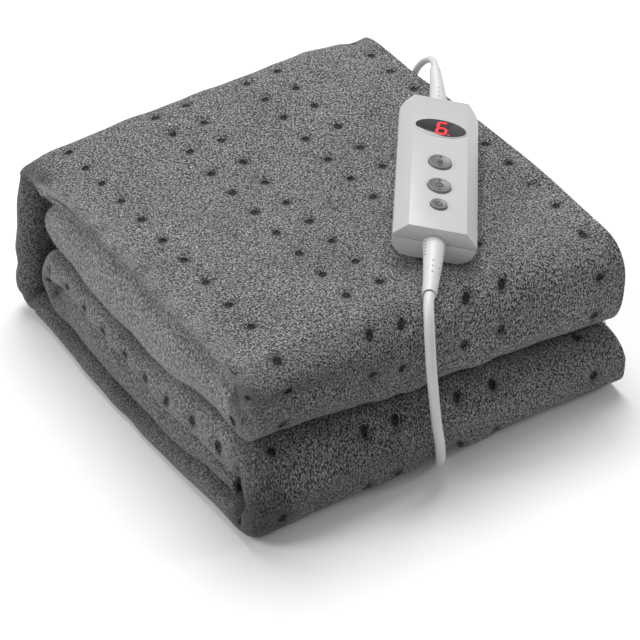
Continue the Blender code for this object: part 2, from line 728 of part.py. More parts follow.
def main():
    clear_scene()
    make_blanket(make_material("grey_plush", (0.15, 0.152, 0.157), 0.95))
    sleeve = make_controller()
    make_entry(sleeve)
    make_tube("mains_lead", MAINS_ROUTE, MAINS_DIAMETER, sleeve)
    make_tube("mains_lead_tail", TAIL_ROUTE, MAINS_DIAMETER, sleeve)
    make_tube("short_lead", SHORT_ROUTE, SHORT_DIAMETER, sleeve)
    make_coil(sleeve)
    make_plug(sleeve, make_material("pin_metal", (0.75, 0.74, 0.72), 0.25, 1.0))


main()
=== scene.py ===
import math

import bmesh
import bpy
import numpy as np
from mathutils import Euler, Matrix, Vector


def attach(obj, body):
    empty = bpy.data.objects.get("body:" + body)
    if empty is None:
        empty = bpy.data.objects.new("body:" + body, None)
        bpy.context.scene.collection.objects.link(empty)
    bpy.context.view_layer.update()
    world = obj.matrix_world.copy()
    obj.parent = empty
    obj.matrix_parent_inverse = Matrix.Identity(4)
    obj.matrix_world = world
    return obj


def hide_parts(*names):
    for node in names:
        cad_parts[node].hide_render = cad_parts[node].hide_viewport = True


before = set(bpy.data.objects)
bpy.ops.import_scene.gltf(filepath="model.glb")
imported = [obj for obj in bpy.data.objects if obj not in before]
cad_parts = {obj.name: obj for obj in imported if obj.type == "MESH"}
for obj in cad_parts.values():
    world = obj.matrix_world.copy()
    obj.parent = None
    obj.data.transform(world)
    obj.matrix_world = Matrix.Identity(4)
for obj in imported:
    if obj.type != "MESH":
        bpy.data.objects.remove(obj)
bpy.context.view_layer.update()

packLow = Vector((-0.131, -0.139, 0.0))       # the neat pack, before it swells and sags
packHigh = Vector((0.131, 0.139, 0.110))
print("stage: the frame is loaded")


# small helpers
def clearSelection():
    if bpy.context.mode != "OBJECT":
        bpy.ops.object.mode_set(mode="OBJECT")
    bpy.ops.object.select_all(action="DESELECT")


def makeActive(obj):
    clearSelection()
    obj.select_set(True)
    bpy.context.view_layer.objects.active = obj


def settlePlace(obj):
    makeActive(obj)
    bpy.ops.object.transform_apply(location=True, rotation=True, scale=True)


def addBox(name, size, place=(0.0, 0.0, 0.0)):
    clearSelection()
    bpy.ops.mesh.primitive_cube_add(size=1.0, location=place)
    obj = bpy.context.object
    obj.name = name
    obj.scale = size
    settlePlace(obj)
    return obj


def addDrum(name, radii, depth, place, sides=48):
    clearSelection()
    bpy.ops.mesh.primitive_cylinder_add(vertices=sides, radius=1.0, depth=1.0, location=place)
    obj = bpy.context.object
    obj.name = name
    obj.scale = (radii[0], radii[1], depth)
    settlePlace(obj)
    return obj


def openMesh(obj, kind="FACE"):
    makeActive(obj)
    bpy.ops.object.mode_set(mode="EDIT")
    bpy.ops.mesh.select_mode(type=kind)
    bpy.ops.mesh.select_all(action="DESELECT")
    return bmesh.from_edit_mesh(obj.data)


def closeMesh():
    bpy.ops.object.mode_set(mode="OBJECT")


def pickFaces(obj, test):
    mesh = openMesh(obj, "FACE")
    for face in mesh.faces:
        face.select_set(bool(test(face)))
    bmesh.update_edit_mesh(obj.data)


def pickEdges(obj, test):
    mesh = openMesh(obj, "EDGE")
    for edge in mesh.edges:
        edge.select_set(bool(test(edge.verts[0].co, edge.verts[1].co)))
    bmesh.update_edit_mesh(obj.data)


def bevelEdges(obj, test, width, segments):
    pickEdges(obj, test)
    bpy.ops.mesh.bevel(offset=width, segments=segments, profile=0.5, affect="EDGES")
    closeMesh()


def softenEdges(obj, width, segments=2, angle=35.0):
    makeActive(obj)
    bevel = obj.modifiers.new("softEdges", "BEVEL")
    bevel.width = width
    bevel.segments = segments
    bevel.limit_method = "ANGLE"
    bevel.angle_limit = math.radians(angle)
    bpy.ops.object.modifier_apply(modifier=bevel.name)


def carve(obj, cutter, operation="DIFFERENCE"):
    makeActive(obj)
    step = obj.modifiers.new("carve", "BOOLEAN")
    step.operation = operation
    step.solver = "EXACT"
    step.object = cutter
    bpy.ops.object.modifier_apply(modifier=step.name)
    bpy.data.objects.remove(cutter, do_unlink=True)


def joinPieces(name, pieces):
    clearSelection()
    for piece in pieces:
        piece.select_set(True)
    bpy.context.view_layer.objects.active = pieces[0]
    if len(pieces) > 1:
        bpy.ops.object.join()
    obj = bpy.context.object
    obj.name = name
    return obj


def smoothShade(obj, angle=35.0):
    makeActive(obj)
    bpy.ops.object.shade_smooth_by_angle(angle=math.radians(angle))


def finishPiece(obj, material, body):
    obj.data.materials.clear()
    obj.data.materials.append(material)
    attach(obj, body)
    return obj


def mix(a, b, share):
    return a + (b - a) * share


def smoothStep(value):
    value = np.clip(value, 0.0, 1.0)
    return value * value * (3.0 - 2.0 * value)


# material helpers
def newMaterial(name, colour, roughness, **sockets):
    material = bpy.data.materials.new(name)
    material.use_nodes = True
    shader = material.node_tree.nodes["Principled BSDF"]
    shader.inputs["Base Color"].default_value = (*colour, 1.0)
    shader.inputs["Roughness"].default_value = roughness
    for socket, value in sockets.items():
        shader.inputs[socket.replace("_", " ")].default_value = value
    return material, material.node_tree, shader


def node(tree, kind, **values):
    made = tree.nodes.new(kind)
    for key, value in values.items():
        if key.startswith("in_"):
            made.inputs[key[3:].replace("_", " ")].default_value = value
        else:
            setattr(made, key, value)
    return made


def sums(tree, operation, first, second=None, third=None):
    made = tree.nodes.new("ShaderNodeMath")
    made.operation = operation
    for place, value in enumerate((first, second, third)):
        if value is None:
            continue
        if isinstance(value, (int, float)):
            made.inputs[place].default_value = value
        else:
            tree.links.new(value, made.inputs[place])
    return made.outputs[0]


def spread(tree, value, fromLow, fromHigh, toLow, toHigh, smooth=False):
    made = tree.nodes.new("ShaderNodeMapRange")
    made.interpolation_type = "SMOOTHSTEP" if smooth else "LINEAR"
    limits = {"From Min": fromLow, "From Max": fromHigh, "To Min": toLow, "To Max": toHigh}
    for name, number in limits.items():
        made.inputs[name].default_value = number
    tree.links.new(value, made.inputs["Value"])
    return made.outputs["Result"]


def noise(tree, vector, scale, detail=2.0, rough=0.5, distortion=0.0):
    made = node(tree, "ShaderNodeTexNoise", in_Scale=scale, in_Detail=detail, in_Roughness=rough,
                in_Distortion=distortion)
    tree.links.new(vector, made.inputs["Vector"])
    return made.outputs["Fac"]


def blendColour(tree, factor, first, second, kind="MIX"):
    made = node(tree, "ShaderNodeMix", data_type="RGBA", blend_type=kind)
    for place, value in ((0, factor), (6, first), (7, second)):
        if isinstance(value, (int, float)):
            made.inputs[place].default_value = value
        elif isinstance(value, tuple):
            made.inputs[place].default_value = (*value, 1.0)
        else:
            tree.links.new(value, made.inputs[place])
    return made.outputs[2]


def addBump(tree, shader, height, strength, distance, under=None):
    made = node(tree, "ShaderNodeBump", in_Strength=strength, in_Distance=distance)
    tree.links.new(height, made.inputs["Height"])
    if under is not None:
        tree.links.new(under, made.inputs["Normal"])
    if shader is not None:
        tree.links.new(made.outputs["Normal"], shader.inputs["Normal"])
    return made.outputs["Normal"]


# camera, floor and lights
cameraLook = {
    "place": (-0.652, -1.000, 0.9255),
    "aim": (0.0, 0.0, 0.055),
    "lens": 135.0,
    "shift": (0.01125, -0.0773),
}
floorLook = {"size": 12.0, "colour": (0.81, 0.81, 0.815)}
lightLook = (
    {"name": "topLight", "place": (0.40, 0.75, 1.90), "size": 1.60, "power": 43.0},
    {"name": "leftLight", "place": (-1.55, 0.45, 1.30), "size": 0.80, "power": 17.0},
    {"name": "frontLight", "place": (1.10, -0.60, 0.60), "size": 0.20, "power": 3.0},
    {"name": "lowLight", "place": (-0.80, -1.30, 0.70), "size": 0.60, "power": 2.5},
)
worldLook = {"colour": (0.97, 0.98, 1.0), "strength": 0.36}


def aimAt(obj, target):
    obj.rotation_euler = (Vector(target) - obj.location).to_track_quat("-Z", "Y").to_euler()


def makeCamera():
    data = bpy.data.cameras.new("mainCamera")
    data.lens = cameraLook["lens"]
    data.shift_x, data.shift_y = cameraLook["shift"]
    data.clip_start = 0.05
    camera = bpy.data.objects.new("mainCamera", data)
    bpy.context.scene.collection.objects.link(camera)
    camera.location = cameraLook["place"]
    aimAt(camera, cameraLook["aim"])
    bpy.context.scene.camera = camera


def makeStage():
    clearSelection()
    bpy.ops.mesh.primitive_plane_add(size=floorLook["size"], location=(0.0, 0.0, 0.0))
    floor = bpy.context.object
    floor.name = "stageFloor"
    material, tree, shader = newMaterial("paleFloor", floorLook["colour"], 0.75)
    place = node(tree, "ShaderNodeTexCoord").outputs["Object"]
    grain = spread(tree, noise(tree, place, 3.0, 3.0), 0.3, 0.7, 0.97, 1.0)
    tint = blendColour(tree, 1.0, floorLook["colour"], grain, "MULTIPLY")
    tree.links.new(tint, shader.inputs["Base Color"])
    floor.data.materials.append(material)
    for light in lightLook:
        data = bpy.data.lights.new(light["name"], "AREA")
        data.shape = "DISK"
        data.size = light["size"]
        data.energy = light["power"]
        lamp = bpy.data.objects.new(light["name"], data)
        bpy.context.scene.collection.objects.link(lamp)
        lamp.location = light["place"]
        aimAt(lamp, (0.0, 0.0, 0.05))
    world = bpy.data.worlds.new("softRoom")
    world.use_nodes = True
    sky = world.node_tree.nodes["Background"]
    sky.inputs["Color"].default_value = (*worldLook["colour"], 1.0)
    sky.inputs["Strength"].default_value = worldLook["strength"]
    bpy.context.scene.world = world
    bpy.context.scene.view_settings.view_transform = "Standard"


makeCamera()
makeStage()
print("stage: camera, floor and lights")


# cords
mainsLead = {
    "diameter": 0.0062,
    "floorZ": 0.0033,
    "route": (                     # from the controller down the front and under the pack
        (-0.0075, -0.1315, 0.1212),
        (-0.0117, -0.1364, 0.1204),
        (-0.0153, -0.1420, 0.1166),
        (-0.0182, -0.1469, 0.1100),
        (-0.0196, -0.1502, 0.1010),
        (-0.0200, -0.1522, 0.0900),
        (-0.0194, -0.1535, 0.0770),
        (-0.0182, -0.1544, 0.0620),
        (-0.0164, -0.1550, 0.0460),
        (-0.0141, -0.1550, 0.0335),
        (-0.0118, -0.1532, 0.0224),
        (-0.0089, -0.1493, 0.0134),
        (-0.0050, -0.1434, 0.0070),
        (-0.0010, -0.1372, 0.0039),
        (0.0030, -0.1308, 0.0033),
        (0.0062, -0.1245, 0.0033),
        (0.0080, -0.1180, 0.0033),
        (0.0087, -0.1100, 0.0033),
        (0.0088, -0.1000, 0.0033),
        (0.0088, -0.0500, 0.0033),
        (0.0088, 0.0200, 0.0033),
        (0.0088, 0.0900, 0.0033),
        (0.0088, 0.1624, 0.0033),
    ),
    "coilCentre": (0.0490, 0.1855),
    "coilRadii": (0.0402, 0.0340, 0.0278, 0.0278, 0.0340, 0.0402, 0.0402),
    "coilTurns": 6.5,
    "turnPoints": 36,
    "stepShare": 0.22,             # of a turn, in which the lead moves over by one diameter
    "tail": (                      # from the coil to the plug
        (0.0942, 0.1720, 0.0092),
        (0.0981, 0.1679, 0.0085),
        (0.1029, 0.1647, 0.0078),
        (0.1082, 0.1625, 0.0072),
        (0.1125, 0.1620, 0.0070),
        (0.1160, 0.1620, 0.0070),
    ),
    "colour": (0.53, 0.535, 0.54),
}
shortLead = {
    "diameter": 0.0046,
    "route": (                     # from the controller over the +X side and down to the lead entry
        (0.1284, 0.0536, 0.1286),
        (0.1316, 0.0596, 0.1293),
        (0.1343, 0.0660, 0.1282),
        (0.1356, 0.0725, 0.1248),
        (0.1358, 0.0785, 0.1195),
        (0.1354, 0.0835, 0.1125),
        (0.1351, 0.0870, 0.1040),
        (0.1350, 0.0894, 0.0930),
        (0.1350, 0.0904, 0.0800),
        (0.1350, 0.0906, 0.0620),
        (0.1353, 0.0898, 0.0440),
        (0.1365, 0.0872, 0.0285),
        (0.1392, 0.0820, 0.0155),
        (0.1432, 0.0736, 0.0070),
        (0.1476, 0.0620, 0.0036),
        (0.1514, 0.0460, 0.0026),
        (0.1530, 0.0260, 0.0026),
        (0.1526, 0.0060, 0.0026),
        (0.1502, -0.0140, 0.0034),
        (0.1456, -0.0320, 0.0076),
        (0.1420, -0.0455, 0.0126),
        (0.1404, -0.0545, 0.0147),
        (0.1402, -0.0607, 0.0152),
    ),
}


def smoothRoute(route, spacing):
    # a smooth curve through the points, read again at even spacing
    points = [Vector(point) for point in route]
    padded = [2 * points[0] - points[1]] + points + [2 * points[-1] - points[-2]]
    dense = []
    for a, b, c, d in zip(padded, padded[1:], padded[2:], padded[3:]):
        for step in range(12):
            t = step / 12
            bend = 2 * b + (c - a) * t + (2 * a - 5 * b + 4 * c - d) * t ** 2
            dense.append((bend + (3 * b - a - 3 * c + d) * t ** 3) / 2)
    dense.append(points[-1])
    line = np.array(dense)
    along = np.concatenate([[0.0], np.cumsum(np.linalg.norm(np.diff(line, axis=0), axis=1))])
    count = max(2, round(along[-1] / spacing))
    places = np.linspace(0.0, along[-1], count + 1)
    even = np.stack([np.interp(places, along, line[:, axis]) for axis in range(3)], axis=1)
    return even, along[-1]


def coilPoints():
    # wound inwards on the floor for three turns, then outwards on top of them
    d = mainsLead["diameter"]
    radii = mainsLead["coilRadii"]
    count = round(mainsLead["coilTurns"] * mainsLead["turnPoints"])
    points = []
    for index in range(count + 1):
        turns = index / mainsLead["turnPoints"]
        whole = min(int(turns), len(radii) - 1)
        after = min(whole + 1, len(radii) - 1)
        share = float(smoothStep((turns - whole - 1.0) / mainsLead["stepShare"] + 1.0))
        radius = mix(radii[whole], radii[after], share)
        lift = share if whole == 2 else float(whole > 2)
        angle = math.pi - 2 * math.pi * turns
        x = mainsLead["coilCentre"][0] + radius * math.cos(angle)
        y = mainsLead["coilCentre"][1] + radius * math.sin(angle)
        points.append((x, y, mainsLead["floorZ"] + lift * d))
    return points


def makeCord(name, route, diameter, material):
    line, length = smoothRoute(route, diameter * 0.42)
    curve = bpy.data.curves.new(name, "CURVE")
    curve.dimensions = "3D"
    curve.bevel_depth = diameter / 2
    curve.bevel_resolution = 4
    curve.use_fill_caps = True
    curve.resolution_u = 1
    spline = curve.splines.new("POLY")
    spline.points.add(len(line) - 1)
    for place, point in zip(spline.points, line):
        place.co = (*point, 1.0)
    spline.use_smooth = True
    obj = bpy.data.objects.new(name, curve)
    bpy.context.scene.collection.objects.link(obj)
    finishPiece(obj, material, "pack")
    return obj, length


def makeSleeveMaterial():
    material, tree, shader = newMaterial("whiteSleeve", mainsLead["colour"], 0.42,
                                         Coat_Weight=0.08, Coat_Roughness=0.3)
    place = node(tree, "ShaderNodeTexCoord").outputs["Object"]
    soil = spread(tree, noise(tree, place, 60.0, 3.0, 0.6), 0.35, 0.7, 0.94, 1.0)
    tint = blendColour(tree, 1.0, mainsLead["colour"], soil, "MULTIPLY")
    tree.links.new(tint, shader.inputs["Base Color"])
    gloss = spread(tree, noise(tree, place, 240.0, 2.0), 0.3, 0.7, 0.36, 0.50)
    tree.links.new(gloss, shader.inputs["Roughness"])
    addBump(tree, shader, noise(tree, place, 900.0, 2.0), 0.12, 0.0002)
    return material


sleeveMaterial = makeSleeveMaterial()
mainsRoute = list(mainsLead["route"]) + coilPoints() + list(mainsLead["tail"])
mainsCord, mainsLength = makeCord("mainsLead", mainsRoute, mainsLead["diameter"], sleeveMaterial)
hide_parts("mains_lead", "mains_lead_coil", "mains_lead_tail")
shortCord, shortLength = makeCord("shortLead", shortLead["route"], shortLead["diameter"], sleeveMaterial)
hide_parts("short_lead")
print("stage: cords", round(mainsLength, 3), round(shortLength, 3))


# blanket
fold = {
    "ply": 0.0032,
    "plyShare": 0.22,              # a ply's share of a tight layer
    "spineThick": 0.019,
    "spineTopRadius": 0.030,
    "spineFootRadius": 0.020,
    "tuckedEndY": 0.102,
    "backTurnY": 0.112,
    "innerEndY": -0.109,
    "endTaper": 0.022,
    "endThick": 0.010,
    "rollDepth": 0.010,
    "hemStep": 0.003,
    "upperSquare": 2.6,            # 2 is round, more is fuller in the corners
    "lowerSquare": 3.2,
    "spineSquare": 4.0,
    "fine": 0.0024,
    "edgeInnerX": -0.111,
    "rollEdgeX": -0.112,           # past this the strip is going round its roll at -X
    "rollSteps": 14,
}
layers = {
    "bottom":     {"low": 0.0000, "high": 0.0190, "inset": 0.0040, "spacing": 0.0050},
    "lowerInner": {"low": 0.0195, "high": 0.0375, "inset": 0.0065, "spacing": 0.0060},
    "lowerUpper": {"low": 0.0380, "high": 0.0560, "inset": 0.0010, "spacing": 0.0030},
    "tucked":     {"low": 0.0580, "high": 0.0830, "inset": 0.0000, "spacing": 0.0045},
    "top":        {"low": 0.0840, "high": 0.1100, "inset": 0.0010, "spacing": 0.0024},
}
cordWay = {"x": 0.0088, "lift": 0.0073, "flat": 0.0045, "reach": 0.013, "fade": 0.090}
heightKnots = (0.0, 0.0190, 0.0377, 0.0570, 0.0835, 0.1100)
# where each of those heights lies along the -X side, as Y and Z
edgeHeights = (
    ((0.0, 0.0000),),
    ((-0.106, 0.0160), (-0.087, 0.0150), (-0.064, 0.0130), (-0.035, 0.0105), (0.001, 0.0090),
     (0.032, 0.0110), (0.063, 0.0110), (0.090, 0.0110), (0.112, 0.0160)),
    ((-0.137, 0.0280), (-0.117, 0.0330), (-0.077, 0.0355), (-0.048, 0.0340), (-0.025, 0.0355),
     (-0.002, 0.0390), (0.022, 0.0415), (0.047, 0.0425), (0.083, 0.0415), (0.096, 0.0390)),
    ((-0.125, 0.0600), (-0.100, 0.0650), (-0.073, 0.0620), (-0.044, 0.0575), (-0.009, 0.0550),
     (0.027, 0.0570), (0.064, 0.0600), (0.083, 0.0610)),
    ((-0.120, 0.0960), (-0.105, 0.1030), (-0.069, 0.1030), (-0.037, 0.1045), (0.002, 0.1055),
     (0.037, 0.1055), (0.089, 0.1030), (0.120, 0.1000)),
    ((0.0, 0.1100),),
)
frontDrop = {                      # the upper half hangs lower at the front, more towards +X
    "across": ((-0.131, 0.0), (-0.060, 0.005), (0.0, 0.007), (0.055, 0.011), (0.131, 0.017)),
    "shares": (0.0, 0.25, 0.6, 1.0, 0.4, 0.0),
    "fromY": -0.020,
    "fullY": -0.100,
}
# how far the pack swells past its folds: tables pair a place with a distance or a share
swell = {
    "side": ((-0.139, 0.0060), (-0.100, 0.0080), (0.030, 0.0115), (0.100, 0.0095), (0.139, 0.0085)),
    "sideHeights": ((0.0, 1.0), (0.020, 0.90), (0.046, 0.40), (0.080, 0.0)),
    "spine": 0.0040,               # the spine stands out at -X over its whole height
    "spineHeights": ((0.0, 0.0), (0.046, 1.0), (0.070, 1.0), (0.100, 0.0)),
    "front": 0.0070,               # the lower half comes forward
    "frontHeights": ((0.0, 0.6), (0.014, 1.0), (0.036, 1.0), (0.062, 0.0)),
    "top": ((-0.131, -0.007), (-0.111, -0.002), (-0.042, 0.004), (0.0, 0.005), (0.083, 0.007),
            (0.131, 0.004)),
    "back": ((-0.131, 0.0), (0.0, 0.0025), (0.083, 0.0060), (0.131, 0.0050)),
    "hem": ((-0.120, 0.0), (-0.060, 0.0020), (0.020, 0.0035), (0.055, 0.0025), (0.078, 0.0)),
    "cornerDrop": 0.0050,          # the free corner of the top hangs a little
}
pins = {                           # heat-pressed spots that hold the plies together
    "pitch": 0.0247,
    "rows": (                      # places across the strip that share one start along it
        {"x": (-0.125, 0.120), "start": 0.0170},
        {"x": (-0.098,), "start": 0.0124},
        {"x": (-0.038, -0.015, 0.031, 0.055), "start": 0.0068},
    ),
    "lowerSpots": (0.012, 0.051),  # heights of the spots on the lower front fold
    "lowerStart": 0.0070,
    "dimple": 0.0020,
    "dimpleReach": 0.0033,
}
unevenness = (                     # how deep, how long and which waves
    {"depth": 0.0008, "size": 0.110, "seed": 4},
    {"depth": 0.0004, "size": 0.030, "seed": 9},
)
# how much painted shade darkens the pile inside the spine, low on the sides, towards the -X end of the front
# and on the front folds
paintedShadeShares = {"inner": 0.50, "low": 0.34, "front": 0.30, "nose": 0.18}
creases = (                        # soft troughs: points, half width and depth in metres
    {"line": ((-0.131, 0.122, 0.100), (-0.131, 0.040, 0.1045), (-0.131, -0.070, 0.102),
              (-0.131, -0.112, 0.098), (-0.130, -0.130, 0.083), (-0.128, -0.138, 0.066)),
     "width": 0.0050, "depth": 0.0042},
    {"line": ((-0.131, -0.095, 0.088), (-0.131, -0.112, 0.080), (-0.130, -0.128, 0.070)),
     "width": 0.0038, "depth": 0.0026},
    {"line": ((-0.129, 0.098, 0.034), (-0.130, 0.020, 0.0255), (-0.130, -0.060, 0.0250),
              (-0.130, -0.118, 0.020)),
     "width": 0.0028, "depth": 0.0018},
    {"line": ((-0.128, 0.096, 0.0235), (-0.129, 0.010, 0.0170), (-0.129, -0.070, 0.0185),
              (-0.128, -0.110, 0.0160)),
     "width": 0.0025, "depth": 0.0016},
    {"line": ((-0.131, -0.104, 0.050), (-0.130, -0.122, 0.038), (-0.129, -0.134, 0.022)),
     "width": 0.0036, "depth": 0.0026},
    {"line": ((-0.050, -0.139, 0.078), (-0.020, -0.139, 0.068), (0.010, -0.134, 0.054)),
     "width": 0.0075, "depth": 0.0022},
    {"line": ((0.060, -0.139, 0.055), (0.092, -0.137, 0.047)),
     "width": 0.0060, "depth": 0.0016},
)


def runStations(name, yFrom, yTo, spacing=None):
    layer = layers[name]
    count = max(1, round(abs(yTo - yFrom) / (spacing or layer["spacing"])))
    side = math.copysign(1.0, yTo - yFrom)
    middle = (layer["low"] + layer["high"]) / 2
    thick = layer["high"] - layer["low"]
    plain = 0.0 if name in ("top", "lowerUpper") else 1.0
    return [
        {"y": mix(yFrom, yTo, k / count), "z": middle, "out": (0.0, side), "thick": thick,
         "inset": layer["inset"], "nose": 0.0, "plain": plain}
        for k in range(count + 1)
    ]


def turnStations(centre, radius, angles, thicks, insets, spacing, square=2.0, nose=0.0):
    sweep = abs(math.radians(angles[1] - angles[0]))
    count = max(4, round(sweep * radius / spacing))
    stations = []
    for k in range(count + 1):
        share = k / count
        angle = math.radians(mix(angles[0], angles[1], share))
        thick = mix(thicks[0], thicks[1], share)
        powers = abs(math.cos(angle)) ** square + abs(math.sin(angle)) ** square
        reach = radius / powers ** (1.0 / square) - thick / 2
        stations.append(
            {"y": centre[0] + reach * math.cos(angle), "z": centre[1] + reach * math.sin(angle),
             "out": (math.cos(angle), math.sin(angle)), "thick": thick,
             "inset": mix(insets[0], insets[1], share), "nose": nose * math.sin(math.pi * share) ** 0.5,
             "plain": 0.0}
        )
    return stations


def layerTurn(lowName, highName, yCentre, angles, names, spacing, square=2.0, nose=0.0):
    low = layers[lowName]["low"]
    high = layers[highName]["high"]
    thicks = [layers[name]["high"] - layers[name]["low"] for name in names]
    insets = [layers[name]["inset"] for name in names]
    return turnStations((yCentre, (low + high) / 2), (high - low) / 2, angles, thicks, insets,
                        spacing, square, nose)


def tuckedEnd():
    stations = []
    for share in (0.0, 0.06, 0.15, 0.28, 0.45, 0.65, 0.85):
        y = fold["tuckedEndY"] - fold["endTaper"] * share
        station = runStations("tucked", y, y - 0.001)[0]
        roundShare = math.sqrt(1.0 - (1.0 - share) ** 2)
        station["thick"] = mix(fold["endThick"], station["thick"], roundShare)
        station["inset"] = mix(0.002, station["inset"], roundShare)
        stations.append(station)
    return stations


def stripStations():
    # the way of the strip through the pack, from its tucked end to its inner end
    front, back = packLow.y, packHigh.y
    height = packHigh.z
    fine = fold["fine"]
    upper = (layers["top"]["high"] - layers["tucked"]["low"]) / 2
    lower = (layers["lowerUpper"]["high"] - layers["bottom"]["low"]) / 2
    turn = (layers["lowerUpper"]["high"] - layers["lowerInner"]["low"]) / 2
    thicks = (layers["top"]["high"] - layers["top"]["low"], fold["spineThick"], layers["bottom"]["high"])
    insets = (layers["top"]["inset"], 0.002, layers["bottom"]["inset"])
    topCorner = (back - fold["spineTopRadius"], height - fold["spineTopRadius"])
    footCorner = (back - fold["spineFootRadius"], fold["spineFootRadius"])
    walk = tuckedEnd()
    walk += runStations("tucked", fold["tuckedEndY"] - fold["endTaper"], front + upper)
    walk += layerTurn("tucked", "top", front + upper, (-90, -270), ("tucked", "top"), fine,
                      fold["upperSquare"], 1.0)[1:]
    walk += runStations("top", front + upper, topCorner[0])[1:]
    walk += turnStations(topCorner, fold["spineTopRadius"], (90, 0), thicks[:2], insets[:2], fine,
                         fold["spineSquare"])[1:]
    wallCount = round((topCorner[1] - footCorner[1]) / 0.003)
    for k in range(1, wallCount):
        walk.append(dict(walk[-1], z=mix(topCorner[1], footCorner[1], k / wallCount)))
    walk += turnStations(footCorner, fold["spineFootRadius"], (0, -90), thicks[1:], insets[1:], fine)
    walk += runStations("bottom", footCorner[0], front + lower)[1:]
    walk += layerTurn("bottom", "lowerUpper", front + lower, (-90, -270), ("bottom", "lowerUpper"),
                      fine, fold["lowerSquare"], 1.0)[1:]
    walk += runStations("lowerUpper", front + lower, fold["backTurnY"] - turn)[1:]
    walk += layerTurn("lowerInner", "lowerUpper", fold["backTurnY"] - turn, (90, -90),
                      ("lowerUpper", "lowerInner"), 0.003)[1:]
    walk += runStations("lowerInner", fold["backTurnY"] - turn, fold["innerEndY"])[1:]
    return walk


def arcPoints(centre, half, angles, steps):
    turns = [math.radians(mix(angles[0], angles[1], k / steps)) for k in range(steps + 1)]
    return [(centre[0] + half[0] * math.cos(a), centre[1] + half[1] * math.sin(a)) for a in turns]


def plySection(thick, inset):
    # the outermost ply rolls round at -X into the innermost, which folds at +X into the third,
    # and that rolls round inside the first roll into the second
    ply = min(fold["ply"], fold["plyShare"] * thick)
    half = ply / 2
    pitch = (thick - ply) / 3
    levels = (1.5 * pitch, 0.5 * pitch, -0.5 * pitch, -1.5 * pitch)
    tip = packLow.x + inset
    rollX = tip + min(1.5 * pitch + half, fold["rollDepth"])
    rollOut = (rollX - tip, 1.5 * pitch + half)
    rollIn = (rollX - tip - ply, 1.5 * pitch - half)
    nestOut = (pitch / 2 + half, pitch / 2 + half)
    nestIn = (pitch / 2 - half, pitch / 2 - half)
    nestX = tip + ply + fold["hemStep"] + nestOut[0]
    foldOut = (min(pitch / 2 + half, fold["rollDepth"]), pitch / 2 + half)
    foldIn = (max(foldOut[0] - ply, 0.0002), pitch / 2 - half)
    hem = packHigh.x
    foldX = hem - 0.5 * fold["hemStep"] - foldOut[0]
    fineCount = round((hem - fold["edgeInnerX"]) / fold["fine"])
    fineColumns = [mix(hem, fold["edgeInnerX"], k / fineCount) for k in range(fineCount + 1)]
    goingOut = [0.085, 0.050, cordWay["x"] + cordWay["reach"], cordWay["x"] + cordWay["flat"],
                cordWay["x"] - cordWay["flat"], cordWay["x"] - cordWay["reach"],
                -0.030, -0.050, -0.065, -0.080, -0.090, -0.097, -0.104, fold["edgeInnerX"]]
    comingBack = goingOut[::-1]
    outline = [(x, levels[0] + half) for x in fineColumns]
    outline += arcPoints((rollX, 0.0), rollOut, (90, 270), fold["rollSteps"])
    outerCount = len(outline)
    outline += [(x, levels[3] - half) for x in comingBack]
    outline += arcPoints((foldX, -pitch), foldOut, (-90, 90), 6)
    outline += [(x, levels[2] + half) for x in goingOut]
    outline += arcPoints((nestX, 0.0), nestIn, (270, 90), 4)
    outline += [(x, levels[1] - half) for x in comingBack]
    outline += [(hem - fold["hemStep"], levels[1] - half), (hem - fold["hemStep"], levels[1] + half)]
    outline += [(x, levels[1] + half) for x in goingOut]
    outline += arcPoints((nestX, 0.0), nestOut, (90, 270), 4)
    outline += [(x, levels[2] - half) for x in comingBack]
    outline += arcPoints((foldX, -pitch), foldIn, (90, -90), 6)
    outline += [(x, levels[3] + half) for x in goingOut]
    outline += arcPoints((rollX, 0.0), rollIn, (270, 90), fold["rollSteps"])
    outline += [(x, levels[0] - half) for x in comingBack]
    outline += [(hem, levels[0] - half)]
    return outline, outerCount


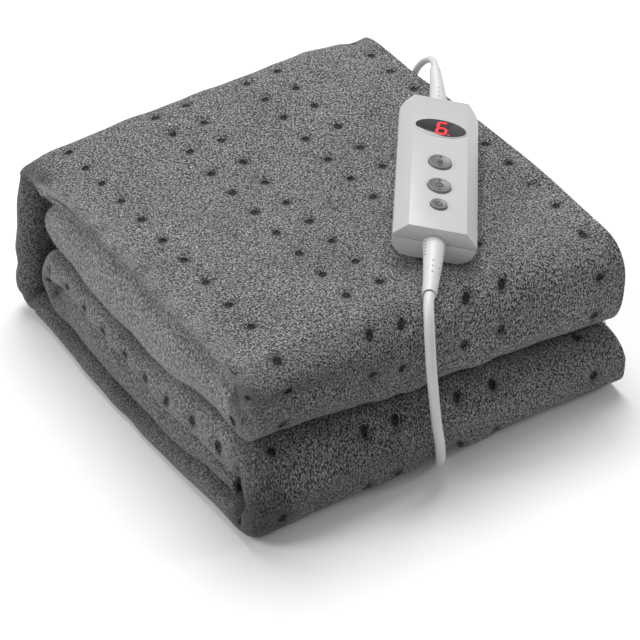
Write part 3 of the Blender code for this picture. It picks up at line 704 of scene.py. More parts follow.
def settle(points):
    # puffs the layers up at -X, lets the upper half hang at the front and clears the cord below
    x, y, z = points[..., 0], points[..., 1], points[..., 2]
    fadeX = cordWay["x"] - cordWay["reach"]
    edgeShare = smoothStep((fadeX - x) / (fadeX - fold["edgeInnerX"]))
    frontShare = smoothStep((frontDrop["fromY"] - y) / (frontDrop["fromY"] - frontDrop["fullY"]))
    drop = np.interp(x, *zip(*frontDrop["across"])) * frontShare
    targets = []
    for knot, table, share in zip(heightKnots, edgeHeights, frontDrop["shares"]):
        edge = np.interp(y, *zip(*table))
        targets.append(knot + edgeShare * (edge - knot) - drop * share * (1.0 - edgeShare))
    settled = z - np.clip(z, 0.0, heightKnots[-1])
    for k in range(len(heightKnots) - 1):
        part = np.clip((z - heightKnots[k]) / (heightKnots[k + 1] - heightKnots[k]), 0.0, 1.0)
        settled = settled + part * (targets[k + 1] - targets[k])
    side = np.interp(y, *zip(*swell["side"])) * np.interp(z, *zip(*swell["sideHeights"]))
    spineShare = smoothStep((y - 0.100) / 0.034) * np.interp(z, *zip(*swell["spineHeights"]))
    forward = smoothStep((-0.050 - y) / 0.065) * np.interp(z, *zip(*swell["frontHeights"]))
    highShare = smoothStep((z - 0.080) / 0.026)
    backShare = smoothStep((y - 0.034) / 0.086) * highShare
    cornerShare = smoothStep((x - 0.060) / 0.071) * smoothStep((-0.030 - y) / 0.105) * highShare
    hemShare = smoothStep((x - 0.095) / 0.036) * highShare
    settled = settled + backShare * np.interp(x, *zip(*swell["top"])) - cornerShare * swell["cornerDrop"]
    moveX = hemShare * np.interp(y, *zip(*swell["hem"])) - (side + spineShare * swell["spine"]) * edgeShare
    moveY = backShare * np.interp(x, *zip(*swell["back"])) - forward * swell["front"]
    aside = np.abs(x - cordWay["x"])
    lift = cordWay["lift"] * smoothStep((cordWay["reach"] - aside) / (cordWay["reach"] - cordWay["flat"]))
    settled = settled + lift * np.clip(1.0 - settled / layers["lowerUpper"]["high"], 0.0, 1.0)
    under = [(place[1], place[0]) for place in mainsLead["route"] if place[2] < 0.0040]
    way = np.clip((cordWay["fade"] - aside) / (cordWay["fade"] - cordWay["reach"]), 0.0, 1.0)
    x = x + (np.interp(y, *zip(*under)) - cordWay["x"]) * way
    return np.stack([x + moveX, y + moveY, settled], axis=-1)


def gridNormals(points):
    along = np.gradient(points, axis=0)
    across = (np.roll(points, -1, axis=1) - np.roll(points, 1, axis=1)) / 2
    normals = np.cross(along, across)
    length = np.linalg.norm(normals, axis=-1, keepdims=True)
    normals = normals / np.maximum(length, 1e-9)
    row = int(np.argmax(points[:, 40, 2]))
    return normals if normals[row, 40, 2] > 0 else -normals


def lineDistance(points, line):
    best = np.full(points.shape[:-1], 1.0)
    for a, b in zip(line, line[1:]):
        a, b = np.array(a), np.array(b)
        step = b - a
        share = np.clip(((points - a) @ step) / (step @ step), 0.0, 1.0)
        best = np.minimum(best, np.linalg.norm(points - a - share[..., None] * step, axis=-1))
    return best


def softWaves(points, size, seed):
    # a gentle unevenness of about this size, the same each time
    draw = np.random.default_rng(seed)
    total = np.zeros(points.shape[:-1])
    for _ in range(7):
        way = draw.normal(size=3)
        way = way / np.linalg.norm(way) * draw.uniform(0.6, 1.5) * 2 * math.pi / size
        total = total + np.sin(points @ way + draw.uniform(0.0, 6.3))
    return total / 7 ** 0.5


def pinPlaces(pathLength, across, noses):
    # shifts the spots a little where the strip goes round its folds
    shiftAt = np.array(noses["at"])
    drift = np.interp(pathLength, shiftAt, noses["drift"])
    slip = np.interp(pathLength, shiftAt, noses["slip"])
    return pathLength[:, None] - slip[:, None] + 0 * across, across - drift[:, None]


def makeBlanket(material):
    walk = stripStations()
    rings = []
    depths = []
    for station in walk:
        outline, outerCount = plySection(station["thick"], station["inset"])
        heights = np.array([height for _, height in outline])
        depths.append(heights)
        ring = np.stack([
            np.array([x for x, _ in outline]),
            station["y"] + heights * station["out"][0],
            station["z"] + heights * station["out"][1],
        ], axis=1)
        rings.append(ring)
    flat = np.array(rings)                     # before it settles
    stationCount, pointCount = flat.shape[:2]
    outer = flat[:, 0, 1:]
    path = np.concatenate([[0.0], np.cumsum(np.linalg.norm(np.diff(outer, axis=0), axis=1))])
    aroundFirst = np.linalg.norm(np.diff(np.concatenate([flat, flat[:, :1]], axis=1), axis=1), axis=2)
    around = np.concatenate([np.zeros((stationCount, 1)), np.cumsum(aroundFirst, axis=1)], axis=1)
    across = packHigh.x - around               # x of the outer face, going on down the -X roll

    nose = np.array([station["nose"] for station in walk])
    noseRows = np.flatnonzero(nose > 0.05)
    gapRow = int(np.flatnonzero(np.diff(noseRows) > 3)[0])
    upperEnds = path[noseRows[0]], path[noseRows[gapRow]]
    lowerEnds = path[noseRows[gapRow + 1]], path[noseRows[-1]]
    topY = walk[noseRows[gapRow]]["y"]
    shift = upperEnds[1] - topY                # along the top a spot's place is simply Y
    lowerRows = noseRows[gapRow + 1:]
    spotPaths = np.interp(pins["lowerSpots"], outer[lowerRows, 1], path[lowerRows])
    first = round((spotPaths[0] - shift) / pins["pitch"])
    lowSlips = [spotPaths[k] - shift - pins["lowerStart"] - (first + k) * pins["pitch"] for k in (0, 1)]
    noses = {
        "at": (upperEnds[0], (upperEnds[0] + upperEnds[1]) / 2, upperEnds[1] - 0.016, upperEnds[1] + 0.018,
               shift + 0.080, shift + 0.101, shift + 0.125,
               lowerEnds[0], *spotPaths, lowerEnds[1], lowerEnds[1] + 0.030),
        "drift": (-0.008, -0.008, -0.006, 0.0, 0.0, 0.0, 0.0, -0.010, -0.012, -0.012, -0.012, -0.0105),
        "slip": (-0.0125, -0.0125, -0.0125, 0.0, 0.0, -0.0048, -0.0080, -0.0080,
                 *lowSlips, lowSlips[1], lowSlips[1]),
    }
    pinU, pinV = pinPlaces(path, across, noses)
    pinU = pinU - shift

    points = settle(flat)
    normals = gridNormals(points)
    outerFace = np.zeros(pointCount)
    outerFace[:outerCount] = 1.0
    # the rolls at -X of the inner layers have no spots
    plain = np.array([station["plain"] for station in walk])[:, None] * (across[:, :-1] < fold["rollEdgeX"])
    push = np.zeros((stationCount, pointCount))
    for row in pins["rows"]:
        aside = np.min([np.abs(pinV[:, :-1] - x) for x in row["x"]], axis=0)
        onward = (pinU[:, :-1] - row["start"] + pins["pitch"] / 2) % pins["pitch"] - pins["pitch"] / 2
        dimple = np.exp(-(aside ** 2 + onward ** 2) / (2 * pins["dimpleReach"] ** 2))
        push -= pins["dimple"] * dimple * (1.0 - plain)
    for crease in creases:
        away = lineDistance(points, crease["line"])
        push -= crease["depth"] * np.exp(-((away / crease["width"]) ** 2))
    push += sum(wave["depth"] * softWaves(points, wave["size"], wave["seed"]) for wave in unevenness)
    hemFade = smoothStep((packHigh.x - points[..., 0]) / 0.006)
    push *= outerFace * hemFade
    moves = normals * push[..., None]
    # the plies beneath follow the outer face, less the deeper they lie
    fineCount = outerCount - fold["rollSteps"] - 1     # the columns of the outer face before its roll
    for row, station in enumerate(walk):
        share = np.clip(depths[row] / station["thick"] + 0.5, 0.0, 1.0)
        outerX = flat[row, :fineCount, 0][::-1]
        for axis in range(3):
            under = np.interp(flat[row, :, 0], outerX, moves[row, :fineCount, axis][::-1])
            moves[row, outerCount:, axis] = (under * share)[outerCount:]
    points = points + moves                    # and nothing goes down through the floor
    points[..., 2] = np.maximum(points[..., 2], 0.0)

    index = np.arange(stationCount * pointCount).reshape(stationCount, pointCount)
    after = np.roll(index, -1, axis=1)
    quads = np.stack([index[:-1], after[:-1], after[1:], index[1:]], axis=-1).reshape(-1, 4)
    faces = quads.tolist() + [index[0][::-1].tolist(), index[-1].tolist()]
    mesh = bpy.data.meshes.new("blanketSheet")
    mesh.from_pydata(points.reshape(-1, 3).tolist(), [], faces)
    mesh.update()

    def cornerValues(table):               # one value for each corner of each face
        first = np.stack([table[:-1, :-1], table[:-1, 1:], table[1:, 1:], table[1:, :-1]], axis=-1)
        ends = np.concatenate([table[0, :-1][::-1], table[-1, :-1]])
        return np.concatenate([first.reshape(-1), ends])

    clothMap = mesh.uv_layers.new(name="clothMap")
    pinMap = mesh.uv_layers.new(name="pinMap")
    pathTable = path[:, None] + 0 * across
    for layer, pair in ((clothMap, (pathTable, across)), (pinMap, (pinU, pinV))):
        values = np.stack([cornerValues(pair[0]), cornerValues(pair[1])], axis=-1)
        layer.data.foreach_set("uv", values.astype(np.float32).ravel())
    noseTable = np.repeat(nose[:, None], pointCount, axis=1)
    rimTable = np.zeros((stationCount, pointCount))
    rimTable[:, :outerCount] = smoothStep((fold["rollEdgeX"] - flat[:, :outerCount, 0]) / 0.013)
    # painted shade: the pile is painted darker inside the spine, low on the sides, on the front folds and
    # more so towards the -X end of the front
    pastEdge = smoothStep((fold["rollEdgeX"] - points[..., 0]) / 0.008)
    inner = smoothStep((points[..., 1] - 0.104) / 0.010) * pastEdge
    low = smoothStep((-0.100 - points[..., 0]) / 0.020) * smoothStep((0.062 - points[..., 2]) / 0.040)
    front = noseTable * smoothStep((0.060 - points[..., 0]) / 0.190)
    paintedShadeTable = (1.0 - paintedShadeShares["inner"] * inner - paintedShadeShares["low"] * low * (1.0 - inner)
                 - paintedShadeShares["front"] * front - paintedShadeShares["nose"] * noseTable)
    tables = {"nose": noseTable, "rim": rimTable, "paintedShade": paintedShadeTable, "plain": plain}
    for name, table in tables.items():
        attribute = mesh.attributes.new(name, "FLOAT", "POINT")
        attribute.data.foreach_set("value", table.astype(np.float32).ravel())
    obj = bpy.data.objects.new("blanketSheet", mesh)
    bpy.context.scene.collection.objects.link(obj)
    makeActive(obj)
    bpy.ops.object.mode_set(mode="EDIT")
    bpy.ops.mesh.select_all(action="SELECT")
    bpy.ops.mesh.normals_make_consistent(inside=False)
    bpy.ops.object.mode_set(mode="OBJECT")
    smoothShade(obj, 60.0)
    finishPiece(obj, material, "pack")
    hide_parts("blanket")
    return obj, path[-1]


plushLook = {
    "dark": (0.034, 0.0342, 0.0346),
    "light": (0.600, 0.602, 0.606),
    # the rolls at -X: a flatter pile with less grain, and painted shade that makes the -X side darker
    "rim": (0.175, 0.176, 0.178),
    "curl": 1080.0,                # curls to a metre
    "rimFlatShadeShare": 0.35,
    "spotEdge": (0.0009, 0.0027),  # where a spot's floor ends and the pile begins
    "spotShade": 0.16,
    "hollowEdge": (0.0012, 0.0070),
    "hollowShade": 0.50,
    "spotBump": 0.0012,
    "pileBump": 0.0016,
}


def makePlushMaterial():
    material, tree, shader = newMaterial("greyPlush", plushLook["light"], 0.92, Specular_IOR_Level=0.15,
                                         Sheen_Weight=0.25, Sheen_Roughness=0.45)
    links = tree.links
    cloth = node(tree, "ShaderNodeUVMap", uv_map="clothMap").outputs["UV"]
    pinned = node(tree, "ShaderNodeUVMap", uv_map="pinMap").outputs["UV"]
    nose = node(tree, "ShaderNodeAttribute", attribute_name="nose").outputs["Fac"]
    rim = node(tree, "ShaderNodeAttribute", attribute_name="rim").outputs["Fac"]
    paintedShade = node(tree, "ShaderNodeAttribute", attribute_name="paintedShade").outputs["Fac"]
    plain = node(tree, "ShaderNodeAttribute", attribute_name="plain").outputs["Fac"]
    # short curls, brushed a little along the front folds
    wander = node(tree, "ShaderNodeTexNoise", in_Scale=plushLook["curl"] * 0.8, in_Detail=1.0)
    links.new(cloth, wander.inputs["Vector"])
    bend = node(tree, "ShaderNodeVectorMath", operation="MULTIPLY_ADD")
    links.new(wander.outputs["Color"], bend.inputs[0])
    bend.inputs[1].default_value = (0.0010, 0.0010, 0.0)
    links.new(cloth, bend.inputs[2])
    cells = node(tree, "ShaderNodeTexVoronoi", feature="F1", in_Scale=plushLook["curl"], in_Randomness=1.0)
    links.new(bend.outputs[0], cells.inputs["Vector"])
    curls = spread(tree, cells.outputs["Distance"], 0.10, 0.75, 1.0, 0.0)
    fibres = spread(tree, noise(tree, cloth, plushLook["curl"] * 0.75, 3.0, 0.6), 0.30, 0.70, 0.0, 1.0)
    brushed = node(tree, "ShaderNodeMapping")
    brushed.inputs["Scale"].default_value = (0.55, 1.0, 1.0)
    links.new(cloth, brushed.inputs["Vector"])
    streaks = noise(tree, brushed.outputs["Vector"], plushLook["curl"] * 0.9, 2.0, 0.6)
    streaks = spread(tree, streaks, 0.3, 0.7, 0.0, 1.0)
    fibres = blendColour(tree, nose, fibres, streaks)
    pile = sums(tree, "ADD", sums(tree, "MULTIPLY", curls, 0.50), sums(tree, "MULTIPLY", fibres, 0.50))
    pile = spread(tree, pile, 0.30, 0.74, 0.0, 1.0)
    patches = spread(tree, noise(tree, cloth, 26.0, 3.0, 0.55), 0.3, 0.7, 0.88, 1.10)
    # heat-pressed spots, with painted shade in each spot and in the dimple round it
    apart = node(tree, "ShaderNodeSeparateXYZ")
    links.new(pinned, apart.inputs["Vector"])
    nearest = None
    for row in pins["rows"]:
        onward = sums(tree, "WRAP", sums(tree, "SUBTRACT", apart.outputs["X"], row["start"]),
                      pins["pitch"] / 2, -pins["pitch"] / 2)
        aside = None
        for x in row["x"]:
            reach = sums(tree, "ABSOLUTE", sums(tree, "SUBTRACT", apart.outputs["Y"], x))
            aside = reach if aside is None else sums(tree, "MINIMUM", aside, reach)
        square = sums(tree, "ADD", sums(tree, "MULTIPLY", onward, onward),
                      sums(tree, "MULTIPLY", aside, aside))
        away = sums(tree, "SQRT", square)
        nearest = away if nearest is None else sums(tree, "MINIMUM", nearest, away)
    ragged = sums(tree, "ADD", nearest, sums(tree, "MULTIPLY", sums(tree, "SUBTRACT", curls, 0.5), 0.0012))
    pit = spread(tree, ragged, *plushLook["spotEdge"], 0.0, 1.0, True)
    # painted shade in the dimple round each spot
    hollow = spread(tree, nearest, *plushLook["hollowEdge"], plushLook["hollowShade"], 1.0, True)
    pit = sums(tree, "MAXIMUM", pit, plain)
    hollow = sums(tree, "MAXIMUM", hollow, plain)
    # colour
    body = blendColour(tree, pile, plushLook["dark"], plushLook["light"])
    # on the -X rolls the pile is blended towards a flat darker grey: less grain, and painted shade
    body = blendColour(tree, sums(tree, "MULTIPLY", rim, plushLook["rimFlatShadeShare"]), body, plushLook["rim"])
    # the colour is darkened by the random patches, the painted shade round the spots and the painted shade
    # from the blanket's attribute
    shade = sums(tree, "MULTIPLY", sums(tree, "MULTIPLY", patches, hollow), paintedShade)
    # painted shade in the pressed spots
    shade = sums(tree, "MULTIPLY", shade, spread(tree, pit, 0.0, 1.0, plushLook["spotShade"], 1.0))
    body = blendColour(tree, 1.0, body, shade, "MULTIPLY")
    links.new(body, shader.inputs["Base Color"])
    # pile and pressed spots as bump
    soft = sums(tree, "SUBTRACT", 1.0, sums(tree, "MULTIPLY", rim, 0.5))
    height = sums(tree, "MULTIPLY", sums(tree, "MULTIPLY", pile, pit), soft)
    first = addBump(tree, None, pit, 1.0, plushLook["spotBump"])
    addBump(tree, shader, height, 1.0, plushLook["pileBump"], first)
    return material


plushMaterial = makePlushMaterial()
blanketObj, clothLength = makeBlanket(plushMaterial)
print("stage: blanket", len(blanketObj.data.polygons), "faces, strip", round(clothLength, 3))


# controller
seat = {"place": (0.0622, -0.0399, 0.1242), "turn": -36.5, "roll": 10.0}
case = {
    "halfWidth": 0.0248,
    "halfHeight": 0.0110,
    "length": 0.1405,
    "chamfer": 0.0078,
    "backRound": 0.0112,
    "corner": 0.0080,
    "split": 0.0010,
    "gap": 0.0003,
    "edge": 0.0005,
    "colour": (0.43, 0.434, 0.44),
}
window = {"y": 0.0366, "half": (0.0157, 0.0090), "depth": 0.0009, "rim": 0.0006}
buttons = (
    {"name": "heatButton", "body": "heat_button", "node": "button_heat", "y": -0.0014, "radius": 0.0070},
    {"name": "timerButton", "body": "timer_button", "node": "button_timer", "y": -0.0265, "radius": 0.0070},
    {"name": "powerButton", "body": "power_button", "node": "button_power", "y": -0.0458, "radius": 0.0050},
)
capLook = {"rise": 0.0015, "rim": 0.0008, "dish": 0.0003, "under": 0.0050, "pocket": 0.0040,
           "colour": (0.135, 0.138, 0.142)}

seatMatrix = Matrix.Translation(seat["place"]) @ Euler(
    (0.0, math.radians(seat["roll"]), math.radians(seat["turn"]))
).to_matrix().to_4x4()
faceZ = case["halfHeight"]


def ontoSeat(obj):
    obj.matrix_world = seatMatrix
    settlePlace(obj)
    return obj


def makeCaseBody():
    body = addBox("caseBody", (2 * case["halfWidth"], case["length"], 2 * case["halfHeight"]))
    side = case["halfWidth"] - 1e-4
    top = case["halfHeight"] - 1e-4

    def longEdge(a, b, upper):
        high = a.z > top and b.z > top if upper else a.z < -top and b.z < -top
        return high and abs(a.x - b.x) < 1e-5 and abs(a.x) > side

    bevelEdges(body, lambda a, b: longEdge(a, b, False), case["backRound"], 8)
    bevelEdges(body, lambda a, b: longEdge(a, b, True), case["chamfer"], 1)
    plan = addBox("plan", (2 * case["halfWidth"] + 1e-4, case["length"], 0.06))
    far = case["length"] / 2 - 1e-4
    bevelEdges(plan, lambda a, b: abs(a.z - b.z) > 0.01 and a.y > far, case["corner"], 10)
    carve(body, plan, "INTERSECT")
    return body


def halfShell(body, name, height, upper):
    makeActive(body)
    bpy.ops.object.duplicate()
    shell = bpy.context.object
    shell.name = name
    openMesh(shell)
    bpy.ops.mesh.select_all(action="SELECT")
    bpy.ops.mesh.bisect(plane_co=(0.0, 0.0, height), plane_no=(0.0, 0.0, 1.0), use_fill=True,
                        clear_inner=upper, clear_outer=not upper)
    bpy.ops.mesh.select_all(action="SELECT")
    bpy.ops.mesh.normals_make_consistent(inside=False)
    closeMesh()
    return shell


def makeShellMaterial():
    material, tree, shader = newMaterial("whiteShell", case["colour"], 0.36, Coat_Weight=0.12,
                                         Coat_Roughness=0.22)
    place = node(tree, "ShaderNodeTexCoord").outputs["Object"]
    cloud = spread(tree, noise(tree, place, 34.0, 3.0, 0.5), 0.3, 0.7, 0.975, 1.0)
    tint = blendColour(tree, 1.0, case["colour"], cloud, "MULTIPLY")
    tree.links.new(tint, shader.inputs["Base Color"])
    grain = noise(tree, place, 2600.0, 2.0)
    tree.links.new(spread(tree, grain, 0.3, 0.7, 0.32, 0.42), shader.inputs["Roughness"])
    addBump(tree, shader, grain, 0.05, 0.0001)
    return material


def makeShells(material):
    body = makeCaseBody()
    front = halfShell(body, "controllerFront", case["split"] + case["gap"] / 2, True)
    back = halfShell(body, "controllerBack", case["split"] - case["gap"] / 2, False)
    bpy.data.objects.remove(body, do_unlink=True)
    for shell in (front, back):
        softenEdges(shell, case["edge"], 2, 30.0)
    for button in buttons:
        radius = button["radius"] + case["gap"]
        pocketPlace = (0.0, button["y"], capLook["pocket"] + 0.01)
        carve(front, addDrum("pocket", (radius, radius), 0.02, pocketPlace))
    half = (window["half"][0] + case["gap"], window["half"][1] + case["gap"])
    bed = faceZ - window["depth"]
    carve(front, addDrum("recess", half, 0.01, (0.0, window["y"], bed + 0.005), 72))
    for shell in (front, back):
        smoothShade(shell, 32.0)
        ontoSeat(shell)
        finishPiece(shell, material, "pack")
    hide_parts("controller_front")
    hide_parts("controller_back")


def makeWindow():
    bed = faceZ - window["depth"] + case["gap"] / 2
    lensPlace = (0, window["y"], (bed + faceZ + 0.0001) / 2)
    lens = addDrum("displayWindow", window["half"], faceZ + 0.0001 - bed, lensPlace, 72)
    softenEdges(lens, 0.0002, 2, 40.0)
    smoothShade(lens, 40.0)
    ontoSeat(lens)
    material, tree, shader = newMaterial("darkLens", (0.012, 0.012, 0.014), 0.14, Coat_Weight=0.6,
                                         Coat_Roughness=0.06)
    place = node(tree, "ShaderNodeTexCoord").outputs["Object"]
    local = node(tree, "ShaderNodeMapping", vector_type="TEXTURE")
    local.inputs["Location"].default_value = seat["place"]
    local.inputs["Rotation"].default_value = (0.0, math.radians(seat["roll"]), math.radians(seat["turn"]))
    tree.links.new(place, local.inputs["Vector"])
    apart = node(tree, "ShaderNodeSeparateXYZ")
    tree.links.new(local.outputs["Vector"], apart.inputs["Vector"])
    # painted reflection: the lens is painted paler to the right of a slanting line
    slant = sums(tree, "SUBTRACT", apart.outputs["X"], sums(tree, "MULTIPLY", apart.outputs["Y"], 0.55))
    paintedReflection = spread(tree, slant, -0.0163, -0.0155, 0.0, 1.0)
    tint = blendColour(tree, paintedReflection, (0.009, 0.009, 0.010), (0.034, 0.034, 0.036))
    speck = spread(tree, noise(tree, place, 900.0, 2.0), 0.3, 0.7, 0.9, 1.1)
    tree.links.new(blendColour(tree, 1.0, tint, speck, "MULTIPLY"), shader.inputs["Base Color"])
    finishPiece(lens, material, "pack")
    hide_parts("display_window")
    # a thin pale rim round the lens
    outer = addDrum("displayRim", (window["half"][0] + 0.0009, window["half"][1] + 0.0009), 0.0007,
                    (0.0, window["y"], faceZ + 0.00005), 72)
    inner = addDrum("rimHole", (window["half"][0] + 0.00005, window["half"][1] + 0.00005), 0.01,
                    (0.0, window["y"], faceZ), 72)
    carve(outer, inner)
    softenEdges(outer, 0.00018, 2, 40.0)
    smoothShade(outer, 40.0)
    ontoSeat(outer)
    return outer


def segmentBar(name, start, end, width, height, base):
    # a bar between two points with pointed ends, as on a numeric display
    way = Vector((end[0] - start[0], end[1] - start[1], 0.0))
    bar = addBox(name, (way.length, width, height), (0.0, 0.0, base + height / 2))
    for vertex in bar.data.vertices:
        vertex.co.x -= math.copysign(width * 0.30, vertex.co.x)
    pickFaces(bar, lambda face: abs(face.normal.x) > 0.9)
    bpy.ops.mesh.extrude_faces_move(TRANSFORM_OT_shrink_fatten={"value": width * 0.30})
    bpy.ops.transform.resize(value=(1.0, 0.35, 1.0), center_override=(0.0, 0.0, base + height / 2))
    closeMesh()
    middle = Vector(((start[0] + end[0]) / 2, (start[1] + end[1]) / 2, 0.0))
    bar.matrix_world = Matrix.Translation(middle) @ Matrix.Rotation(math.atan2(way.y, way.x), 4, "Z")
    settlePlace(bar)
    return bar


digit = {
    "centre": (0.0006, 0.0366),
    "half": (0.0027, 0.0062),
    "stroke": 0.0017,
    "thick": 0.0002,
    "slant": 0.12,
    "trim": 0.00035,
}


def makeDigit():
    halfX, halfY = digit["half"]
    corners = {"topLeft": (-halfX, halfY), "topRight": (halfX, halfY), "left": (-halfX, 0.0),
               "right": (halfX, 0.0), "lowLeft": (-halfX, -halfY), "lowRight": (halfX, -halfY)}
    strokes = (("topLeft", "topRight"), ("topLeft", "left"), ("left", "right"), ("left", "lowLeft"),
               ("right", "lowRight"), ("lowLeft", "lowRight"))
    bars = []
    for number, (a, b) in enumerate(strokes):
        start, end = Vector((*corners[a], 0.0)), Vector((*corners[b], 0.0))
        way = (end - start).normalized() * digit["trim"]
        bars.append(segmentBar("bar%d" % number, start + way, end - way, digit["stroke"],
                               digit["thick"], faceZ + 0.0001))
    pointPlace = (halfX + 0.0021, -halfY - 0.0002, faceZ + 0.0002)
    bars.append(addDrum("point", (0.0006, 0.0006), digit["thick"], pointPlace, 16))
    number = joinPieces("displayDigit", bars)
    for vertex in number.data.vertices:
        vertex.co.x += digit["slant"] * vertex.co.y + digit["centre"][0]
        vertex.co.y += digit["centre"][1]
    ontoSeat(number)
    material, tree, shader = newMaterial("redDigit", (0.55, 0.010, 0.012), 0.4, Emission_Strength=0.85)
    place = node(tree, "ShaderNodeTexCoord").outputs["Object"]
    glow = spread(tree, noise(tree, place, 700.0, 2.0), 0.3, 0.7, 0.8, 1.0)
    tint = blendColour(tree, 1.0, (0.95, 0.030, 0.035), glow, "MULTIPLY")
    tree.links.new(tint, shader.inputs["Emission Color"])
    finishPiece(number, material, "pack")


def ringMark(name, centre, radius, stroke, openFrom=None, openTo=None):
    # a flat ring, cut open between two angles where they are given
    clearSelection()
    bpy.ops.mesh.primitive_torus_add(major_radius=radius, minor_radius=stroke / 2, major_segments=36,
                                     minor_segments=6, location=(*centre, 0.0))
    ring = bpy.context.object
    ring.name = name
    settlePlace(ring)
    if openFrom is not None:
        def inGap(face):
            middle = face.calc_center_median()
            angle = math.degrees(math.atan2(middle.y - centre[1], middle.x - centre[0])) % 360
            return openFrom < angle < openTo

        pickFaces(ring, inGap)
        bpy.ops.mesh.delete(type="FACE")
        closeMesh()
        openMesh(ring)
        bpy.ops.mesh.select_mode(type="EDGE")
        bpy.ops.mesh.select_non_manifold()
        bpy.ops.mesh.edge_face_add()
        closeMesh()
    return ring


def plusMark(centre, size, stroke):
    return [addBox("plusA", (size, stroke, 0.0002), (*centre, 0.0)),
            addBox("plusB", (stroke, size, 0.0002), (*centre, 0.0))]


def makeMarks(button):
    y = button["y"]
    if button["name"] == "powerButton":
        marks = [ringMark("power", (0.0, y - 0.0002), 0.0018, 0.0006, 60, 120),
                 addBox("bar", (0.0006, 0.0020, 0.0002), (0.0, y + 0.0014, 0.0))]
    else:
        marks = plusMark((0.0, y + 0.0046), 0.0020, 0.0006)
        marks.append(addBox("minus", (0.0020, 0.0006, 0.0002), (0.0, y - 0.0046, 0.0)))
        if button["name"] == "heatButton":
            for offset in (-0.0010, 0.0, 0.0010):
                marks.append(addBox("heat", (0.0006, 0.0034, 0.0002), (offset, y, 0.0)))
            marks.append(addBox("heatBase", (0.0034, 0.0006, 0.0002), (0.0, y - 0.0021, 0.0)))
        else:
            marks.append(ringMark("clock", (0.0, y), 0.0020, 0.0006))
            marks.append(addBox("handUp", (0.0005, 0.0015, 0.0002), (0.0, y + 0.0006, 0.0)))
            marks.append(addBox("handAside", (0.0013, 0.0005, 0.0002), (0.0005, y, 0.0)))
    mark = joinPieces(button["name"] + "Mark", marks)
    mark.scale.z = 0.5
    settlePlace(mark)
    for vertex in mark.data.vertices:
        vertex.co.z += faceZ + capLook["rise"] - capLook["dish"] + 0.0001
    return ontoSeat(mark)


def makeButtons():
    material, tree, shader = newMaterial("greyCap", capLook["colour"], 0.45, Coat_Weight=0.15,
                                         Coat_Roughness=0.3)
    place = node(tree, "ShaderNodeTexCoord").outputs["Object"]
    speck = noise(tree, place, 1800.0, 2.0)
    tint = blendColour(tree, 1.0, capLook["colour"], spread(tree, speck, 0.3, 0.7, 0.92, 1.06), "MULTIPLY")
    tree.links.new(tint, shader.inputs["Base Color"])
    tree.links.new(spread(tree, speck, 0.3, 0.7, 0.40, 0.52), shader.inputs["Roughness"])
    addBump(tree, shader, speck, 0.08, 0.0001)
    ink, inkTree, inkShader = newMaterial("darkMark", (0.012, 0.012, 0.013), 0.5)
    inkPlace = node(inkTree, "ShaderNodeTexCoord").outputs["Object"]
    inkSpeck = spread(inkTree, noise(inkTree, inkPlace, 1500.0, 1.0), 0.3, 0.7, 0.45, 0.6)
    inkTree.links.new(inkSpeck, inkShader.inputs["Roughness"])
    for button in buttons:
        top = faceZ + capLook["rise"]
        cap = addDrum(button["name"], (button["radius"], button["radius"]), top - capLook["under"],
                      (0.0, button["y"], (top + capLook["under"]) / 2), 64)
        bevelEdges(cap, lambda a, b: a.z > top - 1e-5 and b.z > top - 1e-5, 0.0005, 3)
        pickFaces(cap, lambda face: face.normal.z > 0.99)
        bpy.ops.mesh.inset(thickness=capLook["rim"] * 0.35, depth=0.0)
        bpy.ops.mesh.inset(thickness=capLook["rim"] * 0.45, depth=-capLook["dish"])
        closeMesh()
        smoothShade(cap, 40.0)
        ontoSeat(cap)
        finishPiece(cap, material, button["body"])
        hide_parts(button["node"])
        finishPiece(makeMarks(button), ink, button["body"])


boots = (
    {"name": "mainsBoot", "node": "relief_mains_side", "end": -1.0, "tip": 0.0041,
     "droop": (2.0, 7.0), "swing": (0.0, -3.0), "slots": 5, "holes": 3},
    {"name": "blanketBoot", "node": "relief_blanket_side", "end": 1.0, "tip": 0.0035,
     "droop": (-2.0, -9.0), "swing": (-1.0, -8.0), "slots": 1, "holes": 3},
)
bootLook = {
    "length": 0.044,
    "base": (0.0070, 0.0060),
    "gap": 0.0003,
    "sides": 36,
    "slot": 0.0011,
    "rib": 0.0017,
    "hole": 0.0010,
    "depth": 0.0009,
}


def bootSteps(boot):
    # lengths along the boot, each with what is pressed into it
    steps = [(0.0016, "")]
    for _ in range(boot["slots"]):
        steps += [(bootLook["slot"], "slot"), (bootLook["rib"], "")]
    steps.append((0.0040 if boot["slots"] > 1 else 0.0065, ""))
    for _ in range(boot["holes"]):
        steps += [(bootLook["hole"], "hole"), (0.0037, "")]
    used = sum(length for length, _ in steps)
    rest = bootLook["length"] - used
    return steps + [(rest * 0.45, ""), (rest * 0.25, ""), (rest * 0.30, "")]


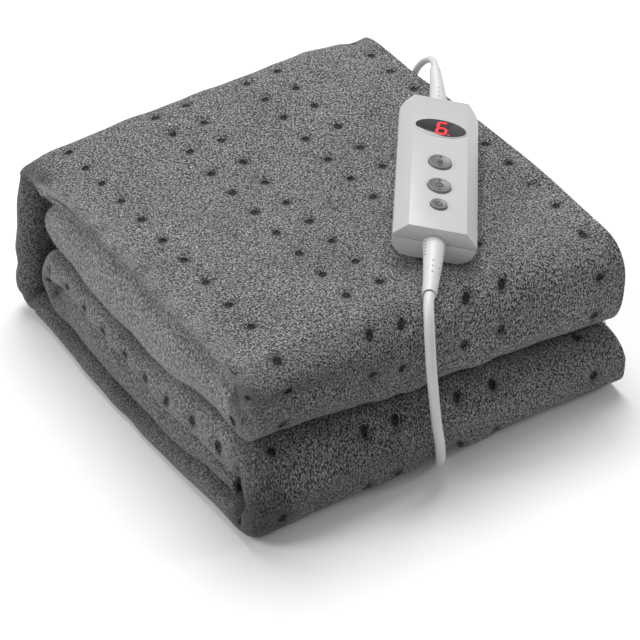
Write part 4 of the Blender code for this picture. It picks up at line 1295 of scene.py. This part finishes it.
def makeBoot(boot, material):
    end = boot["end"]
    middle = Vector((0.0, end * (case["length"] / 2 + bootLook["gap"]), 0.0))
    clearSelection()
    bpy.ops.mesh.primitive_circle_add(vertices=bootLook["sides"], radius=1.0, fill_type="NGON",
                                      location=middle, rotation=(math.radians(90), 0.0, 0.0))
    obj = bpy.context.object
    obj.name = boot["name"]
    obj.scale = (bootLook["base"][0], bootLook["base"][1], 1.0)
    settlePlace(obj)
    openMesh(obj)
    bpy.ops.mesh.select_all(action="SELECT")
    steps = bootSteps(boot)
    done = 0.0
    size = Vector(bootLook["base"])
    bands = []
    for length, pressed in steps:
        share = (done + length) / bootLook["length"]
        droop = math.radians(mix(*boot["droop"], share))
        swing = math.radians(mix(*boot["swing"], share))
        ahead = Vector((math.sin(swing), end * math.cos(swing), 0.0)) * math.cos(droop)
        ahead.z = -math.sin(droop)
        step = ahead * length
        bands.append((middle + step / 2, length, pressed))
        middle = middle + step
        done += length
        newSize = Vector([mix(side, boot["tip"], share ** 0.8) for side in bootLook["base"]])
        bpy.ops.mesh.extrude_region_move(TRANSFORM_OT_translate={"value": step})
        bpy.ops.transform.resize(value=(newSize.x / size.x, 1.0, newSize.y / size.y), center_override=middle)
        size = newSize
    # a shallow seat for the cord in the end
    bpy.ops.mesh.inset(thickness=0.0006, depth=0.0)
    bpy.ops.mesh.extrude_region_move(TRANSFORM_OT_translate={"value": -0.0012 * ahead})
    bpy.ops.mesh.select_all(action="SELECT")
    bpy.ops.mesh.normals_make_consistent(inside=False)
    closeMesh()

    def inBand(face, kind):
        centre = face.calc_center_median()
        for place, length, pressed in bands:
            if pressed == kind and abs(centre.y - place.y) < length * 0.3:
                angle = math.degrees(math.atan2(centre.z - place.z, centre.x - place.x)) % 360
                return angle
        return None

    def isSlot(face):
        angle = inBand(face, "slot")
        return angle is not None and abs(face.normal.y) < 0.5 and (abs((angle + 180) % 360 - 180) < 38
                                                                   or abs(angle - 180) < 38)

    def isHole(face):
        angle = inBand(face, "hole")
        return angle is not None and abs(face.normal.y) < 0.5 and (abs(angle - 95) < 5.1
                                                                   or abs(angle - 45) < 5.1)

    if boot["slots"]:
        pickFaces(obj, isSlot)
        bpy.ops.mesh.inset(thickness=0.0001, depth=0.0)
        bpy.ops.mesh.inset(thickness=0.0001, depth=-bootLook["depth"])
        closeMesh()
    pickFaces(obj, isHole)
    bpy.ops.mesh.inset(thickness=0.0001, depth=-bootLook["depth"])
    closeMesh()
    smoothShade(obj, 38.0)
    ontoSeat(obj)
    finishPiece(obj, material, "pack")
    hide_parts(boot["node"])
    return obj


shellMaterial = makeShellMaterial()
makeShells(shellMaterial)
rimPiece = makeWindow()
finishPiece(rimPiece, shellMaterial, "pack")
makeDigit()
makeButtons()
mainsBoot, blanketBoot = [makeBoot(boot, sleeveMaterial) for boot in boots]
print("stage: controller")


# coil tie, plug and lead entry
tie = {"angle": 90.0, "width": 0.0090, "thick": 0.0007, "radial": 0.0192, "height": 0.0126,
       "colour": (0.045, 0.046, 0.048)}


def makeTie():
    angle = math.radians(tie["angle"])
    radius = mainsLead["coilRadii"][1]
    band = addBox("coilTie", (tie["radial"], tie["width"], tie["height"]))
    bevelEdges(band, lambda a, b: abs(a.y - b.y) > tie["width"] / 2, 0.0030, 5)
    pickFaces(band, lambda face: abs(face.normal.y) > 0.9)
    bpy.ops.mesh.delete(type="FACE")
    closeMesh()
    makeActive(band)
    wall = band.modifiers.new("wall", "SOLIDIFY")
    wall.thickness = tie["thick"]
    wall.offset = 1.0
    bpy.ops.object.modifier_apply(modifier=wall.name)
    softenEdges(band, 0.0002, 2, 50.0)
    tailPlace = (0.0040, 0.0, tie["height"] / 2 + 0.0011)
    tail = addBox("tieTail", (0.0150, tie["width"], tie["thick"]), tailPlace)
    softenEdges(tail, 0.0002, 2, 50.0)
    band = joinPieces("coilTie", [band, tail])
    place = (mainsLead["coilCentre"][0] + radius * math.cos(angle),
             mainsLead["coilCentre"][1] + radius * math.sin(angle), tie["height"] / 2 + 0.0008)
    band.matrix_world = Matrix.Translation(place) @ Matrix.Rotation(angle, 4, "Z")
    settlePlace(band)
    smoothShade(band, 40.0)
    material, tree, shader = newMaterial("tieStrap", tie["colour"], 0.7)
    where = node(tree, "ShaderNodeTexCoord").outputs["Object"]
    weave = noise(tree, where, 1400.0, 2.0)
    tint = blendColour(tree, 1.0, tie["colour"], spread(tree, weave, 0.3, 0.7, 0.7, 1.2), "MULTIPLY")
    tree.links.new(tint, shader.inputs["Base Color"])
    addBump(tree, shader, weave, 0.4, 0.0003)
    finishPiece(band, material, "pack")
    return band


def makePinMaterial():
    material, tree, shader = newMaterial("pinMetal", (0.72, 0.71, 0.69), 0.26, Metallic=1.0)
    place = node(tree, "ShaderNodeTexCoord").outputs["Object"]
    stretched = node(tree, "ShaderNodeMapping")
    stretched.inputs["Scale"].default_value = (40.0, 900.0, 900.0)
    tree.links.new(place, stretched.inputs["Vector"])
    brushed = spread(tree, noise(tree, stretched.outputs["Vector"], 1.0, 2.0), 0.3, 0.7, 0.2, 0.36)
    tree.links.new(brushed, shader.inputs["Roughness"])
    return material


def dressNode(name, material):
    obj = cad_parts[name]
    obj.data.materials.clear()
    obj.data.materials.append(material)
    return obj


tiePiece = makeTie()
plugPiece = dressNode("plug_body", sleeveMaterial)
pinMaterial = makePinMaterial()
pinPieces = [dressNode(name, pinMaterial) for name in ("plug_pin_left", "plug_pin_right")]
entryPiece = dressNode("lead_entry", sleeveMaterial)
print("stage: tie, plug and entry")
